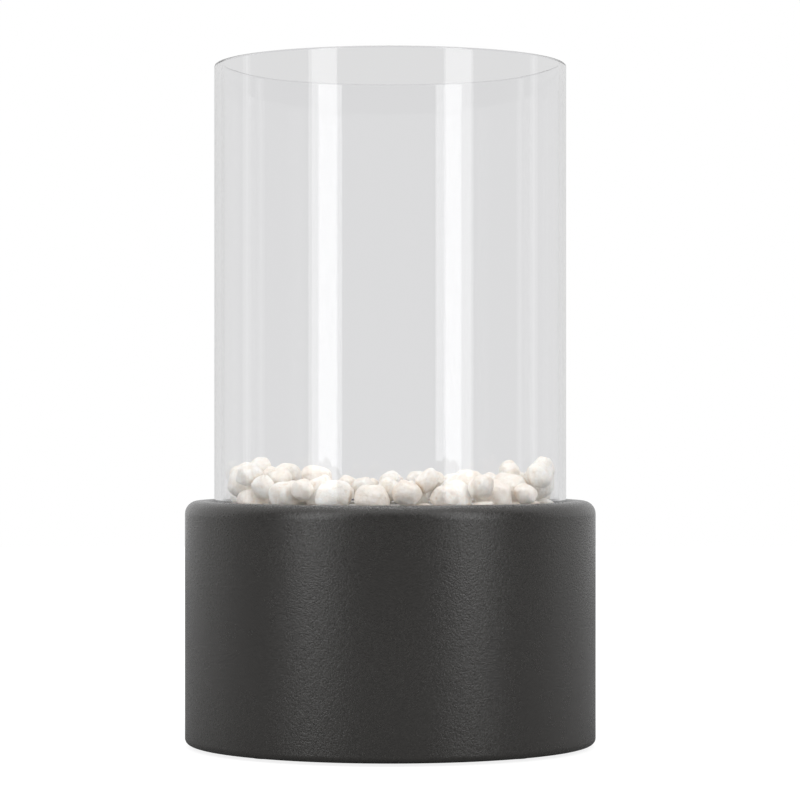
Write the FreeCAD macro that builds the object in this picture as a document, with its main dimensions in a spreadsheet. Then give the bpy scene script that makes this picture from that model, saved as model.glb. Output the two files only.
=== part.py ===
"""Tabletop ethanol fire: a spun steel base, a glass chimney, a lift-out burner and a bed of pebbles.

The origin is on the table, under the centre. +Z is up and every length is in millimetres.
"""

import FreeCAD, Part
import math
import os
import random

import Sketcher
from FreeCAD import Placement, Rotation, Vector

UP = Vector(0, 0, 1)
CORNERS = 4  # brackets, feet and each kind of fastener come in fours

# Every size that is set by itself: its alias in the sheet, its value and what it is.
DRIVING_SIZES = (
    ("overall_height", 290, "table to the top of the glass"),
    ("shell_diameter", 175, "outside of the base"),
    ("rim_height", 104.5, "table to the top of the base's rim"),
    ("rim_width", 11.5, "outside of the base to the lip round the glass"),
    ("shell_sheet", 1.2, "steel of the shell"),
    ("shoulder_radius", 5.5, "outer edge of the rim"),
    ("lip_radius", 3, "inner edge of the rim"),
    ("bend_radius", 0.8, "inside of a tight bend in sheet"),
    ("ledge_width", 15, "shell's seat for the deck"),
    ("ground_gap", 1.2, "table to the shell's lower edge"),
    ("hem_radius", 2.5, "shell's lower edge"),
    ("hem_width", 5, "shell's lower lip"),
    ("seat_depth", 14.5, "rim down to the foot of the glass"),
    ("glass_wall", 3, "glass tube"),
    ("glass_gap", 1, "glass to the lip round it"),
    ("polish_radius", 1.3, "fire-polished top edge of the glass"),
    ("arris_radius", 0.8, "ground bottom edge of the glass"),
    ("gasket_thickness", 1.5, "ring under the glass"),
    ("gasket_width", 3.5, "ring under the glass"),
    ("deck_sheet", 1.2, "steel of the deck"),
    ("neck_height", 12, "deck's collar round the burner"),
    ("deck_screw_inset", 9, "lip to the deck screws"),
    ("well_sheet", 1, "steel of the burner well"),
    ("well_gap", 1.5, "burner can to the well"),
    ("well_corner", 5, "inside corner of the well's floor"),
    ("well_flange", 11, "width of the well's flange"),
    ("rivet_inset", 6.5, "well's wall to its rivets"),
    ("pebble_band", 32, "glass to the burner can"),
    ("can_sheet", 0.8, "steel of the can and its lid"),
    ("can_height", 75, "burner can"),
    ("can_corner", 4, "can's lower edge"),
    ("can_flange", 4, "width of the can's flange"),
    ("can_stand", 2.5, "can's flange above the deck's collar"),
    ("crimp_reach", 2, "lid's edge under the can's flange"),
    ("crimp_gap", 0.1, "can's flange to the lid round it"),
    ("screen_depth", 11, "lid down to the wick screen"),
    ("screen_sheet", 0.6, "wick screen"),
    ("screen_edge", 5, "wick screen's upstand"),
    ("screen_gap", 0.1, "wick screen to the can"),
    ("screen_hole", 1.5, "radius of a hole in the screen"),
    ("wick_gap", 0.6, "wick to the can"),
    ("flame_inner", 9, "inner radius of a flame opening"),
    ("flame_edge", 7, "can's outside to a flame opening"),
    ("flame_angle", 80, "spread of a flame opening in degrees"),
    ("blade_edge", 4, "can's outside to the damper blade's edge"),
    ("damper_sheet", 1, "damper blade"),
    ("ear_width", 10, "damper's handle"),
    ("ear_reach", 5.5, "damper's handle beyond the blade"),
    ("ear_height", 5.8, "damper's handle"),
    ("ear_hole", 1.8, "radius of the hole for the hook"),
    ("rivet_radius", 2.5, "damper's pivot"),
    ("rivet_head", 5.5, "damper's pivot"),
    ("rivet_dome", 1.6, "damper's pivot"),
    ("pivot_gap", 0.06, "damper and lid round the pivot"),
    ("washer_height", 0.8, "cone washer under the pivot's head"),
    ("washer_sheet", 0.3, "cone washer"),
    ("stop_radius", 1.5, "damper's stops"),
    ("stop_height", 3, "damper's stops"),
    ("plate_sheet", 1.5, "bottom plate"),
    ("plate_gap", 0.5, "bottom plate to the shell's lip"),
    ("plate_inset", 1.4, "bottom plate above the shell's edge"),
    ("vent_radius", 3, "holes in the bottom plate"),
    ("tab_sheet", 1.5, "brackets for the bottom plate"),
    ("tab_depth", 23, "brackets, inwards from the shell"),
    ("tab_height", 18, "brackets, up the shell"),
    ("tab_angle", 14, "brackets, in degrees round the shell"),
    ("foot_radius", 7.5, "rubber feet"),
    ("foot_web", 1, "rubber under the foot's screw head"),
    ("foot_inset", 11.5, "shell's lower lip to the middle of a foot"),
    ("screw_radius", 2, "M4 thread"),
    ("thread_gap", 0.05, "screw to its thread"),
    ("screw_clearance", 0.2, "screw to a plain hole"),
    ("screw_head", 4, "M4 screw heads"),
    ("head_height", 1.4, "M4 screw heads"),
    ("screw_length", 8, "M4 screws"),
    ("recess_length", 4, "cross recess in a head"),
    ("recess_width", 1, "cross recess in a head"),
    ("recess_depth", 0.8, "cross recess in a head"),
    ("nut_radius", 4, "clinch nuts"),
    ("nut_spigot", 3, "clinch nuts, in the ledge"),
    ("nut_height", 3, "clinch nuts"),
    ("pop_radius", 1.6, "blind rivets"),
    ("pop_head", 3.2, "blind rivets"),
    ("pop_dome", 1.3, "blind rivets"),
    ("pop_tail", 2.4, "blind rivets"),
    ("stone_small", 4.6, "radius of the smallest pebbles"),
    ("stone_large", 8.4, "radius of the largest pebbles"),
    ("stone_gap", 0.3, "between pebbles, and to the steel and glass"),
    ("heap_height", 30.5, "deck to the top of the bed of pebbles"),
    ("heap_swing", 4, "how far the bed rises and falls"),
)

doc = FreeCAD.newDocument("table_fire")
sheet = doc.addObject("Spreadsheet::Sheet", "sizes")


class Size:
    """A length worked out from the sheet: the expression that gives it, and its value now."""

    def __init__(self, text, value):
        self.text = text
        self.value = float(value)

    def __add__(self, other):
        return Size(f"({self.text} + {as_size(other).text})", self.value + as_size(other).value)

    def __sub__(self, other):
        return Size(f"({self.text} - {as_size(other).text})", self.value - as_size(other).value)

    def __mul__(self, number):
        return Size(f"({self.text} * {number})", self.value * number)

    def __truediv__(self, number):
        return Size(f"({self.text} / {number})", self.value / number)


def as_size(length):
    """A plain number as a Size, and a Size as it is."""
    return length if isinstance(length, Size) else Size(str(length), length)


def fill_sheet():
    """Writes the driving sizes into the sheet and returns them by alias."""
    sizes = {}
    for row, (alias, value, meaning) in enumerate(DRIVING_SIZES, start=1):
        sheet.set(f"A{row}", alias)
        sheet.set(f"B{row}", str(value))
        sheet.set(f"C{row}", meaning)
        sheet.setAlias(f"B{row}", alias)
        sizes[alias] = Size(f"sizes.{alias}", value)
    doc.recompute()
    return sizes


S = fill_sheet()

# ---- places that several pieces share, worked out from the driving sizes ----
ZERO = as_size(0)
SHELL_R = S["shell_diameter"] / 2
LIP_R = SHELL_R - S["rim_width"]
GLASS_R = LIP_R - S["glass_gap"]
GLASS_IN = GLASS_R - S["glass_wall"]
GLASS_FOOT = S["rim_height"] - S["seat_depth"]
DECK_TOP = GLASS_FOOT - S["gasket_thickness"]
LEDGE_TOP = DECK_TOP - S["deck_sheet"]
LEDGE_UNDER = LEDGE_TOP - S["shell_sheet"]
LEDGE_IN = LIP_R - S["ledge_width"]
HEM_IN = SHELL_R - S["hem_width"]
DECK_R = LIP_R - S["bend_radius"] - 0.2
DECK_SCREW_CIRCLE = LIP_R - S["deck_screw_inset"]
CAN_R = GLASS_IN - S["pebble_band"]
WELL_R = CAN_R + S["well_gap"]
WELL_FLANGE_R = WELL_R + S["well_flange"]
WELL_FLANGE_UNDER = LEDGE_TOP - S["well_sheet"]
RIVET_CIRCLE = WELL_R + S["rivet_inset"]
NECK_TOP = DECK_TOP + S["neck_height"]
CAN_TOP = NECK_TOP + S["can_stand"]
CAN_FOOT = CAN_TOP - S["can_height"]
CAN_IN = CAN_R - S["can_sheet"]
CAN_FLANGE_R = CAN_R + S["can_flange"]
LID_R = CAN_FLANGE_R + S["crimp_gap"] + S["can_sheet"]
LID_TOP = CAN_TOP + S["can_sheet"]
SCREEN_UNDER = CAN_TOP - S["screen_depth"]
PIVOT_HOLE = S["rivet_radius"] + S["pivot_gap"]
FLAME_R = CAN_R - S["flame_edge"]
BLADE_R = CAN_R - S["blade_edge"]
BLADE_TOP = LID_TOP + S["damper_sheet"]
HEAD_UNDER = BLADE_TOP + S["washer_height"]
EAR_TIP = BLADE_R + S["ear_reach"]
STOP_CIRCLE = BLADE_R + S["stop_radius"] + 1.1
PLATE_UNDER = S["ground_gap"] + S["plate_inset"]
PLATE_TOP = PLATE_UNDER + S["plate_sheet"]
FOOT_CIRCLE = HEM_IN - S["foot_inset"]
HEAD_SEAT = PLATE_UNDER - S["foot_web"]
SCREW_CORE = S["screw_radius"] - S["thread_gap"]
SCREW_HOLE = S["screw_radius"] + S["screw_clearance"]

FEET_TURN = 45  # degrees from the flame openings to the feet
DAMPER_SWING = 90  # degrees from open to shut
DAMPER_REST = 90  # the handle points this way when the damper is open
STOP_PLAY = 0.3  # between the handle and a stop, at either end of the swing


# ---------------------------------- building helpers ----------------------------------
def new_body(label):
    """An empty body with its own label."""
    body = doc.addObject("PartDesign::Body", label)
    body.Label = label
    return body


def origin_part(body, role):
    """One of the body's own origin planes or axes."""
    return next(part for part in body.Origin.OriginFeatures if part.Role == role)


def new_sketch(body, plane, name):
    """An empty sketch on one of the body's origin planes."""
    sketch = body.newObject("Sketcher::SketchObject", f"{body.Label}_{name}")
    sketch.AttachmentSupport = [(origin_part(body, plane), "")]
    sketch.MapMode = "FlatFace"
    return sketch


def bind(sketch, kind, references, size):
    """Adds a dimension to the sketch and ties it to the sheet."""
    index = sketch.addConstraint(Sketcher.Constraint(kind, *references, size.value))
    sketch.setExpression(f"Constraints[{index}]", size.text)


def place_point(sketch, geometry, end, across, up):
    """Fixes a point of the sketch at two sizes; a size of nought puts it on the axis."""
    for kind, size, axis in (("DistanceX", across, -2), ("DistanceY", up, -1)):
        if size is ZERO:
            sketch.addConstraint(Sketcher.Constraint("PointOnObject", geometry, end, axis))
        else:
            bind(sketch, kind, (geometry, end), size)


def corner_cut(before, corner, after, radius):
    """Where an arc of that radius meets the two sides of a corner, with its centre."""
    back = (before - corner).normalize()
    ahead = (after - corner).normalize()
    half = back.getAngle(ahead) / 2
    run = radius / math.tan(half)
    centre = corner + (back + ahead).normalize() * (radius / math.sin(half))
    return corner + back * run, corner + ahead * run, centre


def draw_outline(sketch, corners):
    """Draws a closed outline through (across, up) or (across, up, radius) corners, all of them sizes."""
    count = len(corners)
    points = [Vector(corner[0].value, corner[1].value, 0) for corner in corners]
    arrive, leave, centres = list(points), list(points), [None] * count
    for i, corner in enumerate(corners):
        if len(corner) == 3:
            cut = corner_cut(points[i - 1], points[i], points[(i + 1) % count], corner[2].value)
            arrive[i], leave[i], centres[i] = cut
    lines = [
        sketch.addGeometry(Part.LineSegment(leave[i], arrive[(i + 1) % count]), False)
        for i in range(count)
    ]
    for i, corner in enumerate(corners):
        line_in, line_out = lines[i - 1], lines[i]
        if len(corner) == 2:
            sketch.addConstraint(Sketcher.Constraint("Coincident", line_in, 2, line_out, 1))
            place_point(sketch, line_out, 1, corner[0], corner[1])
            continue
        spokes = [arrive[i] - centres[i], leave[i] - centres[i]]
        turns_left = spokes[0].cross(spokes[1]).z > 0
        first, last = (spokes[0], spokes[1]) if turns_left else (spokes[1], spokes[0])
        angles = [math.atan2(spoke.y, spoke.x) for spoke in (first, last)]
        circle = Part.Circle(centres[i], UP, corner[2].value)
        arc = sketch.addGeometry(Part.ArcOfCircle(circle, angles[0], angles[1]), False)
        start, end = (1, 2) if turns_left else (2, 1)
        sketch.addConstraint(Sketcher.Constraint("Tangent", line_in, 2, arc, start))
        sketch.addConstraint(Sketcher.Constraint("Tangent", arc, end, line_out, 1))
        bind(sketch, "Radius", (arc,), corner[2])
        tip = sketch.addGeometry(Part.Point(points[i]), True)
        sketch.addConstraint(Sketcher.Constraint("PointOnObject", tip, 1, line_in))
        sketch.addConstraint(Sketcher.Constraint("PointOnObject", tip, 1, line_out))
        place_point(sketch, tip, 1, corner[0], corner[1])


def turned(label, corners):
    """A body turned about Z from an outline of radii and heights."""
    body = new_body(label)
    sketch = new_sketch(body, "XZ_Plane", "section")
    draw_outline(sketch, corners)
    turn = body.newObject("PartDesign::Revolution", f"{label}_turn")
    turn.Profile = sketch
    turn.ReferenceAxis = (sketch, ["V_Axis"])
    turn.Angle = 360
    return body


def repeat_round(body, features, count):
    """Repeats features evenly round Z and makes the result the body's shape."""
    ring = body.newObject("PartDesign::PolarPattern", f"{features[-1].Label}_ring")
    ring.Originals = features
    ring.Axis = (origin_part(body, "Z_Axis"), [""])
    ring.Angle = 360
    ring.Occurrences = count
    body.Tip = ring
    return ring


def turned_ring(label, corners, circle, recess_from=None):
    """Four turned pieces on a circle. Each radius in corners is from the piece's own axis."""
    body = new_body(label)
    sketch = new_sketch(body, "XZ_Plane", "section")
    moved = [(circle + corner[0], *corner[1:]) for corner in corners]
    draw_outline(sketch, moved)
    top, bottom = Vector(circle.value, 1, 0), Vector(circle.value, 0, 0)
    axis = sketch.addGeometry(Part.LineSegment(bottom, top), True)
    sketch.addConstraint(Sketcher.Constraint("Vertical", axis))
    bind(sketch, "DistanceX", (axis, 1), circle)
    turn = body.newObject("PartDesign::Revolution", f"{label}_turn")
    turn.Profile = sketch
    turn.ReferenceAxis = (sketch, ["Axis0"])
    turn.Angle = 360
    features = [turn]
    if recess_from is not None:
        doc.recompute()
        features.append(cross_recess(body, circle, *recess_from))
    repeat_round(body, features, CORNERS)
    return body


def cross_recess(body, circle, height, downwards):
    """Cuts a driver's cross into a screw head, from the height of its face."""
    arm, half = S["recess_length"] / 2, S["recess_width"] / 2
    quarter = [(arm, half), (half, half), (half, arm)]
    outline = []
    for right, up in ((1, 1), (-1, 1), (-1, -1), (1, -1)):
        walk = quarter if right * up > 0 else quarter[::-1]
        for across, along in walk:
            place = along if up > 0 else ZERO - along
            outline.append((circle + across if right > 0 else circle - across, place))
    sketch = new_sketch(body, "XY_Plane", "recess")
    sketch.setExpression("AttachmentOffset.Base.z", height.text)
    draw_outline(sketch, outline)
    cut = body.newObject("PartDesign::Pocket", f"{body.Label}_recess_cut")
    cut.Profile = sketch
    cut.setExpression("Length", S["recess_depth"].text)
    cut.Reversed = downwards
    return cut


def drill_ring(body, name, radius, circle, count):
    """Drills holes along Z, right through, evenly spaced on a circle."""
    doc.recompute()
    before = body.Shape.Volume
    sketch = new_sketch(body, "XY_Plane", name)
    hole = sketch.addGeometry(Part.Circle(Vector(circle.value, 0, 0), UP, radius.value), False)
    bind(sketch, "Radius", (hole,), radius)
    place_point(sketch, hole, 3, circle, ZERO)
    cut = body.newObject("PartDesign::Pocket", f"{body.Label}_{name}_cut")
    cut.Profile = sketch
    cut.Type = "ThroughAll"
    cut.SideType = "Symmetric"
    doc.recompute()
    ring = repeat_round(body, [cut], count)
    doc.recompute()
    if not ring.Shape.Volume < before:
        raise RuntimeError(f"{name} cut nothing from {body.Label}")


def turn_body(body, degrees):
    """Turns a finished body about Z."""
    body.Placement = Placement(Vector(), Rotation(UP, degrees))


def cut_flame_openings(body, inner, outer, middle):
    """Cuts two opposite sectors through a disc. Middle is the first one's direction in degrees."""
    doc.recompute()
    before = body.Shape.Volume
    half = S["flame_angle"] / 2
    low = math.radians(middle - half.value)
    high = math.radians(middle + half.value)
    sketch = new_sketch(body, "XY_Plane", "flame")
    spokes = [Vector(math.cos(angle), math.sin(angle), 0) for angle in (low, high)]
    arcs = [
        sketch.addGeometry(Part.ArcOfCircle(Part.Circle(Vector(), UP, size.value), low, high), False)
        for size in (inner, outer)
    ]
    sides = [
        sketch.addGeometry(Part.LineSegment(spoke * inner.value, spoke * outer.value), False)
        for spoke in spokes
    ]
    for arc, size in zip(arcs, (inner, outer)):
        sketch.addConstraint(Sketcher.Constraint("Coincident", arc, 3, -1, 1))
        bind(sketch, "Radius", (arc,), size)
    for end, side in enumerate(sides, start=1):
        sketch.addConstraint(Sketcher.Constraint("Coincident", side, 1, arcs[0], end))
        sketch.addConstraint(Sketcher.Constraint("Coincident", side, 2, arcs[1], end))
        sketch.addConstraint(Sketcher.Constraint("PointOnObject", -1, 1, side))
        sign = -1 if end == 1 else 1
        index = sketch.addConstraint(Sketcher.Constraint("Angle", side, low if end == 1 else high))
        sketch.setExpression(f"Constraints[{index}]", f"({middle} + {sign} * {half.text}) * 1 deg")
    cut = body.newObject("PartDesign::Pocket", f"{body.Label}_flame_cut")
    cut.Profile = sketch
    cut.Type = "ThroughAll"
    cut.SideType = "Symmetric"
    doc.recompute()
    ring = repeat_round(body, [cut], 2)
    doc.recompute()
    if not ring.Shape.Volume < before:
        raise RuntimeError(f"the flame openings cut nothing from {body.Label}")


# ---------------------------------------- base ----------------------------------------
def outer_shell():
    """The spun shell: hem, wall, shoulder, rim, lip round the glass and ledge under the deck."""
    thin = S["shell_sheet"]
    shell = turned(
        "outer_shell",
        [
            (HEM_IN, S["ground_gap"]),
            (SHELL_R, S["ground_gap"], S["hem_radius"]),
            (SHELL_R, S["rim_height"], S["shoulder_radius"]),
            (LIP_R, S["rim_height"], S["lip_radius"]),
            (LIP_R, LEDGE_TOP, S["bend_radius"]),
            (LEDGE_IN, LEDGE_TOP),
            (LEDGE_IN, LEDGE_UNDER),
            (LIP_R + thin, LEDGE_UNDER, S["bend_radius"] + thin),
            (LIP_R + thin, S["rim_height"] - thin, S["lip_radius"] - thin),
            (SHELL_R - thin, S["rim_height"] - thin, S["shoulder_radius"] - thin),
            (SHELL_R - thin, S["ground_gap"] + thin, S["hem_radius"] - thin),
            (HEM_IN, S["ground_gap"] + thin),
        ],
    )
    drill_ring(shell, "nut_holes", S["nut_spigot"] + S["thread_gap"], DECK_SCREW_CIRCLE, CORNERS)


def deck_plate():
    """The pressed deck that carries the pebbles and the glass, with a collar round the burner."""
    outer_bend = S["bend_radius"] + S["deck_sheet"]
    collar_r = WELL_R + S["deck_sheet"]
    deck = turned(
        "deck_plate",
        [
            (DECK_R, LEDGE_TOP),
            (DECK_R, DECK_TOP),
            (collar_r, DECK_TOP, S["bend_radius"]),
            (collar_r, NECK_TOP),
            (WELL_R, NECK_TOP),
            (WELL_R, LEDGE_TOP, outer_bend),
        ],
    )
    drill_ring(deck, "screw_holes", SCREW_HOLE, DECK_SCREW_CIRCLE, CORNERS)
    drill_ring(deck, "rivet_holes", S["pop_radius"] + S["thread_gap"], RIVET_CIRCLE, CORNERS)


def glass_gasket():
    """The flat silicone ring that the glass stands on."""
    turned(
        "glass_gasket",
        [
            (DECK_R - S["gasket_width"], DECK_TOP),
            (DECK_R, DECK_TOP),
            (DECK_R, GLASS_FOOT),
            (DECK_R - S["gasket_width"], GLASS_FOOT),
        ],
    )


def burner_well():
    """The drawn cup under the deck that the burner can stands in."""
    thin = S["well_sheet"]
    floor = CAN_FOOT - thin
    well = turned(
        "burner_well",
        [
            (ZERO, floor),
            (WELL_R + thin, floor, S["well_corner"] + thin),
            (WELL_R + thin, WELL_FLANGE_UNDER, S["bend_radius"]),
            (WELL_FLANGE_R, WELL_FLANGE_UNDER),
            (WELL_FLANGE_R, LEDGE_TOP),
            (WELL_R, LEDGE_TOP, S["bend_radius"] + thin),
            (WELL_R, CAN_FOOT, S["well_corner"]),
            (ZERO, CAN_FOOT),
        ],
    )
    drill_ring(well, "rivet_holes", S["pop_radius"] + S["thread_gap"], RIVET_CIRCLE, CORNERS)


def well_rivets():
    """Blind rivets through the deck and the well's flange."""
    head_top = DECK_TOP + S["pop_dome"]
    tail = WELL_FLANGE_UNDER - S["pop_head"] / 2
    turned_ring(
        "well_rivets",
        [
            (ZERO, tail),
            (S["pop_tail"], tail, S["pop_tail"] / 4),
            (S["pop_tail"], WELL_FLANGE_UNDER),
            (S["pop_radius"], WELL_FLANGE_UNDER),
            (S["pop_radius"], DECK_TOP),
            (S["pop_head"], DECK_TOP),
            (S["pop_head"], head_top, S["pop_dome"] * 0.8),
            (ZERO, head_top),
        ],
        RIVET_CIRCLE,
    )


def screw_corners(seat, head_up):
    """The outline of an M4 screw whose head sits on seat, its thread pointing away from the head."""
    if head_up:
        head_end, tip = seat + S["head_height"], seat - S["screw_length"]
    else:
        head_end, tip = seat - S["head_height"], seat + S["screw_length"]
    corners = [
        (ZERO, head_end),
        (S["screw_head"], head_end, S["head_height"] / 2),
        (S["screw_head"], seat),
        (SCREW_CORE, seat),
        (SCREW_CORE, tip, S["thread_gap"] * 10),
        (ZERO, tip),
    ]
    return corners, head_end


def deck_screws():
    """Pan-head screws that hold the deck down on the ledge."""
    corners, face = screw_corners(DECK_TOP, True)
    turned_ring("deck_screws", corners, DECK_SCREW_CIRCLE, (face, False))


def clinch_nuts():
    """Nuts pressed into the ledge from below."""
    foot = LEDGE_UNDER - S["nut_height"]
    turned_ring(
        "clinch_nuts",
        [
            (S["screw_radius"], foot),
            (S["nut_radius"], foot, S["bend_radius"] / 2),
            (S["nut_radius"], LEDGE_UNDER),
            (S["nut_spigot"], LEDGE_UNDER),
            (S["nut_spigot"], LEDGE_TOP),
            (S["screw_radius"], LEDGE_TOP),
        ],
        DECK_SCREW_CIRCLE,
    )


def plate_brackets():
    """Four angle brackets, welded inside the shell, that the bottom plate is screwed up to."""
    body = new_body("plate_brackets")
    wall = SHELL_R - S["shell_sheet"]
    leg = PLATE_TOP + S["tab_sheet"]
    top = PLATE_TOP + S["tab_height"]
    sketch = new_sketch(body, "XZ_Plane", "section")
    draw_outline(
        sketch,
        [
            (wall - S["tab_depth"], PLATE_TOP),
            (wall, PLATE_TOP, S["bend_radius"] + S["tab_sheet"]),
            (wall, top),
            (wall - S["tab_sheet"], top),
            (wall - S["tab_sheet"], leg, S["bend_radius"]),
            (wall - S["tab_depth"], leg),
        ],
    )
    bend = body.newObject("PartDesign::Revolution", "plate_brackets_turn")
    bend.Profile = sketch
    bend.ReferenceAxis = (sketch, ["V_Axis"])
    bend.setExpression("Angle", S["tab_angle"].text)
    bend.Midplane = True
    doc.recompute()
    repeat_round(body, [bend], CORNERS)
    drill_ring(body, "thread_holes", S["screw_radius"], FOOT_CIRCLE, CORNERS)
    turn_body(body, FEET_TURN)


def bottom_plate():
    """The vented plate that closes the base."""
    edge = HEM_IN - S["plate_gap"]
    plate = turned(
        "bottom_plate",
        [(ZERO, PLATE_UNDER), (edge, PLATE_UNDER), (edge, PLATE_TOP), (ZERO, PLATE_TOP)],
    )
    drill_ring(plate, "screw_holes", SCREW_HOLE, FOOT_CIRCLE, CORNERS)
    inner_vents, outer_vents = 8, 16
    drill_ring(plate, "inner_vents", S["vent_radius"], FOOT_CIRCLE / 3, inner_vents)
    drill_ring(plate, "outer_vents", S["vent_radius"], FOOT_CIRCLE * 0.65, outer_vents)
    turn_body(plate, FEET_TURN)


def rubber_feet():
    """Four rubber feet, each with a pocket for its screw's head."""
    pocket = S["screw_head"] + S["screw_clearance"] * 2
    feet = turned_ring(
        "rubber_feet",
        [
            (pocket, ZERO),
            (S["foot_radius"], ZERO, S["foot_web"]),
            (S["foot_radius"], PLATE_UNDER),
            (SCREW_HOLE, PLATE_UNDER),
            (SCREW_HOLE, HEAD_SEAT),
            (pocket, HEAD_SEAT),
        ],
        FOOT_CIRCLE,
    )
    turn_body(feet, FEET_TURN)


def bottom_screws():
    """Screws that pass up through the feet and the bottom plate into the brackets."""
    corners, face = screw_corners(HEAD_SEAT, False)
    screws = turned_ring("bottom_screws", corners, FOOT_CIRCLE, (face, True))
    turn_body(screws, FEET_TURN)


# ---------------------------------------- glass ---------------------------------------
def glass_cylinder():
    """The open glass chimney."""
    turned(
        "glass_cylinder",
        [
            (GLASS_IN, GLASS_FOOT, S["arris_radius"]),
            (GLASS_R, GLASS_FOOT, S["arris_radius"]),
            (GLASS_R, S["overall_height"], S["polish_radius"]),
            (GLASS_IN, S["overall_height"], S["polish_radius"]),
        ],
    )


# --------------------------------------- burner ---------------------------------------
def burner_can():
    """The drawn stainless fuel can with its flange."""
    thin = S["can_sheet"]
    flange_under = CAN_TOP - thin
    turned(
        "burner_can",
        [
            (ZERO, CAN_FOOT),
            (CAN_R, CAN_FOOT, S["can_corner"]),
            (CAN_R, flange_under, S["bend_radius"]),
            (CAN_FLANGE_R, flange_under),
            (CAN_FLANGE_R, CAN_TOP),
            (CAN_IN, CAN_TOP, S["bend_radius"] + thin),
            (CAN_IN, CAN_FOOT + thin, S["can_corner"] - thin),
            (ZERO, CAN_FOOT + thin),
        ],
    )


def burner_lid():
    """The lid, crimped round the can's flange, with two flame openings."""
    thin = S["can_sheet"]
    slot = CAN_FLANGE_R + S["crimp_gap"]
    lid = turned(
        "burner_lid",
        [
            (PIVOT_HOLE, CAN_TOP),
            (slot, CAN_TOP),
            (slot, CAN_TOP - thin),
            (slot - S["crimp_reach"], CAN_TOP - thin),
            (slot - S["crimp_reach"], CAN_TOP - thin * 2),
            (LID_R, CAN_TOP - thin * 2, thin),
            (LID_R, LID_TOP, thin),
            (PIVOT_HOLE, LID_TOP),
        ],
    )
    cut_flame_openings(lid, S["flame_inner"], FLAME_R, 0)


def fibre_wick():
    """The ceramic-fibre block that soaks up the fuel."""
    radius = CAN_IN - S["wick_gap"]
    foot = CAN_FOOT + S["can_sheet"]
    turned(
        "fibre_wick",
        [
            (ZERO, foot),
            (radius, foot, S["can_corner"]),
            (radius, SCREEN_UNDER),
            (ZERO, SCREEN_UNDER),
        ],
    )


def wick_screen():
    """The perforated dish that holds the wick down."""
    edge = CAN_IN - S["screen_gap"]
    thin = S["screen_sheet"]
    screen = turned(
        "wick_screen",
        [
            (ZERO, SCREEN_UNDER),
            (edge, SCREEN_UNDER, S["bend_radius"] + thin),
            (edge, SCREEN_UNDER + S["screen_edge"]),
            (edge - thin, SCREEN_UNDER + S["screen_edge"]),
            (edge - thin, SCREEN_UNDER + thin, S["bend_radius"]),
            (ZERO, SCREEN_UNDER + thin),
        ],
    )
    rings = 5
    for ring in range(1, rings + 1):
        circle = FLAME_R * (ring / rings)
        drill_ring(screen, f"holes_{ring}", S["screen_hole"], circle, 6 * ring)


def pivot_rivet():
    """The rivet that the damper turns on, headed above the blade and under the lid."""
    core, head = S["rivet_radius"], S["rivet_head"]
    top = HEAD_UNDER + S["rivet_dome"]
    tail = CAN_TOP - S["rivet_dome"] / 2
    turned(
        "pivot_rivet",
        [
            (ZERO, tail),
            (head - 1, tail, S["rivet_dome"] / 4),
            (head - 1, CAN_TOP),
            (core, CAN_TOP),
            (core, HEAD_UNDER),
            (head, HEAD_UNDER),
            (head, top, S["rivet_dome"] * 0.8),
            (ZERO, top),
        ],
    )


def cone_washer():
    """The sprung washer between the rivet's head and the blade."""
    inner, outer = PIVOT_HOLE + S["pivot_gap"], S["rivet_head"] + 0.5
    rise = S["washer_height"] - S["washer_sheet"]
    turned(
        "cone_washer",
        [
            (inner, BLADE_TOP + rise),
            (outer, BLADE_TOP),
            (outer, BLADE_TOP + S["washer_sheet"]),
            (inner, HEAD_UNDER),
        ],
    )


def stop_studs():
    """Two studs on the lid that stop the damper's handle when it is open and when it is shut."""
    reach = S["ear_width"].value / 2 + S["stop_radius"].value + STOP_PLAY
    margin = math.degrees(math.asin(reach / STOP_CIRCLE.value))
    studs = doc.addObject("Part::MultiFuse", "stop_studs")
    studs.Label = "stop_studs"
    pins = []
    for name, angle in (("open", DAMPER_REST - margin), ("shut", DAMPER_REST + DAMPER_SWING + margin)):
        pin = doc.addObject("Part::Cylinder", f"{name}_stop")
        pin.setExpression("Radius", S["stop_radius"].text)
        pin.setExpression("Height", S["stop_height"].text)
        pin.setExpression("Placement.Base.x", f"{STOP_CIRCLE.text} * cos({angle} deg)")
        pin.setExpression("Placement.Base.y", f"{STOP_CIRCLE.text} * sin({angle} deg)")
        pin.setExpression("Placement.Base.z", LID_TOP.text)
        pins.append(pin)
    studs.Shapes = pins


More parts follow.
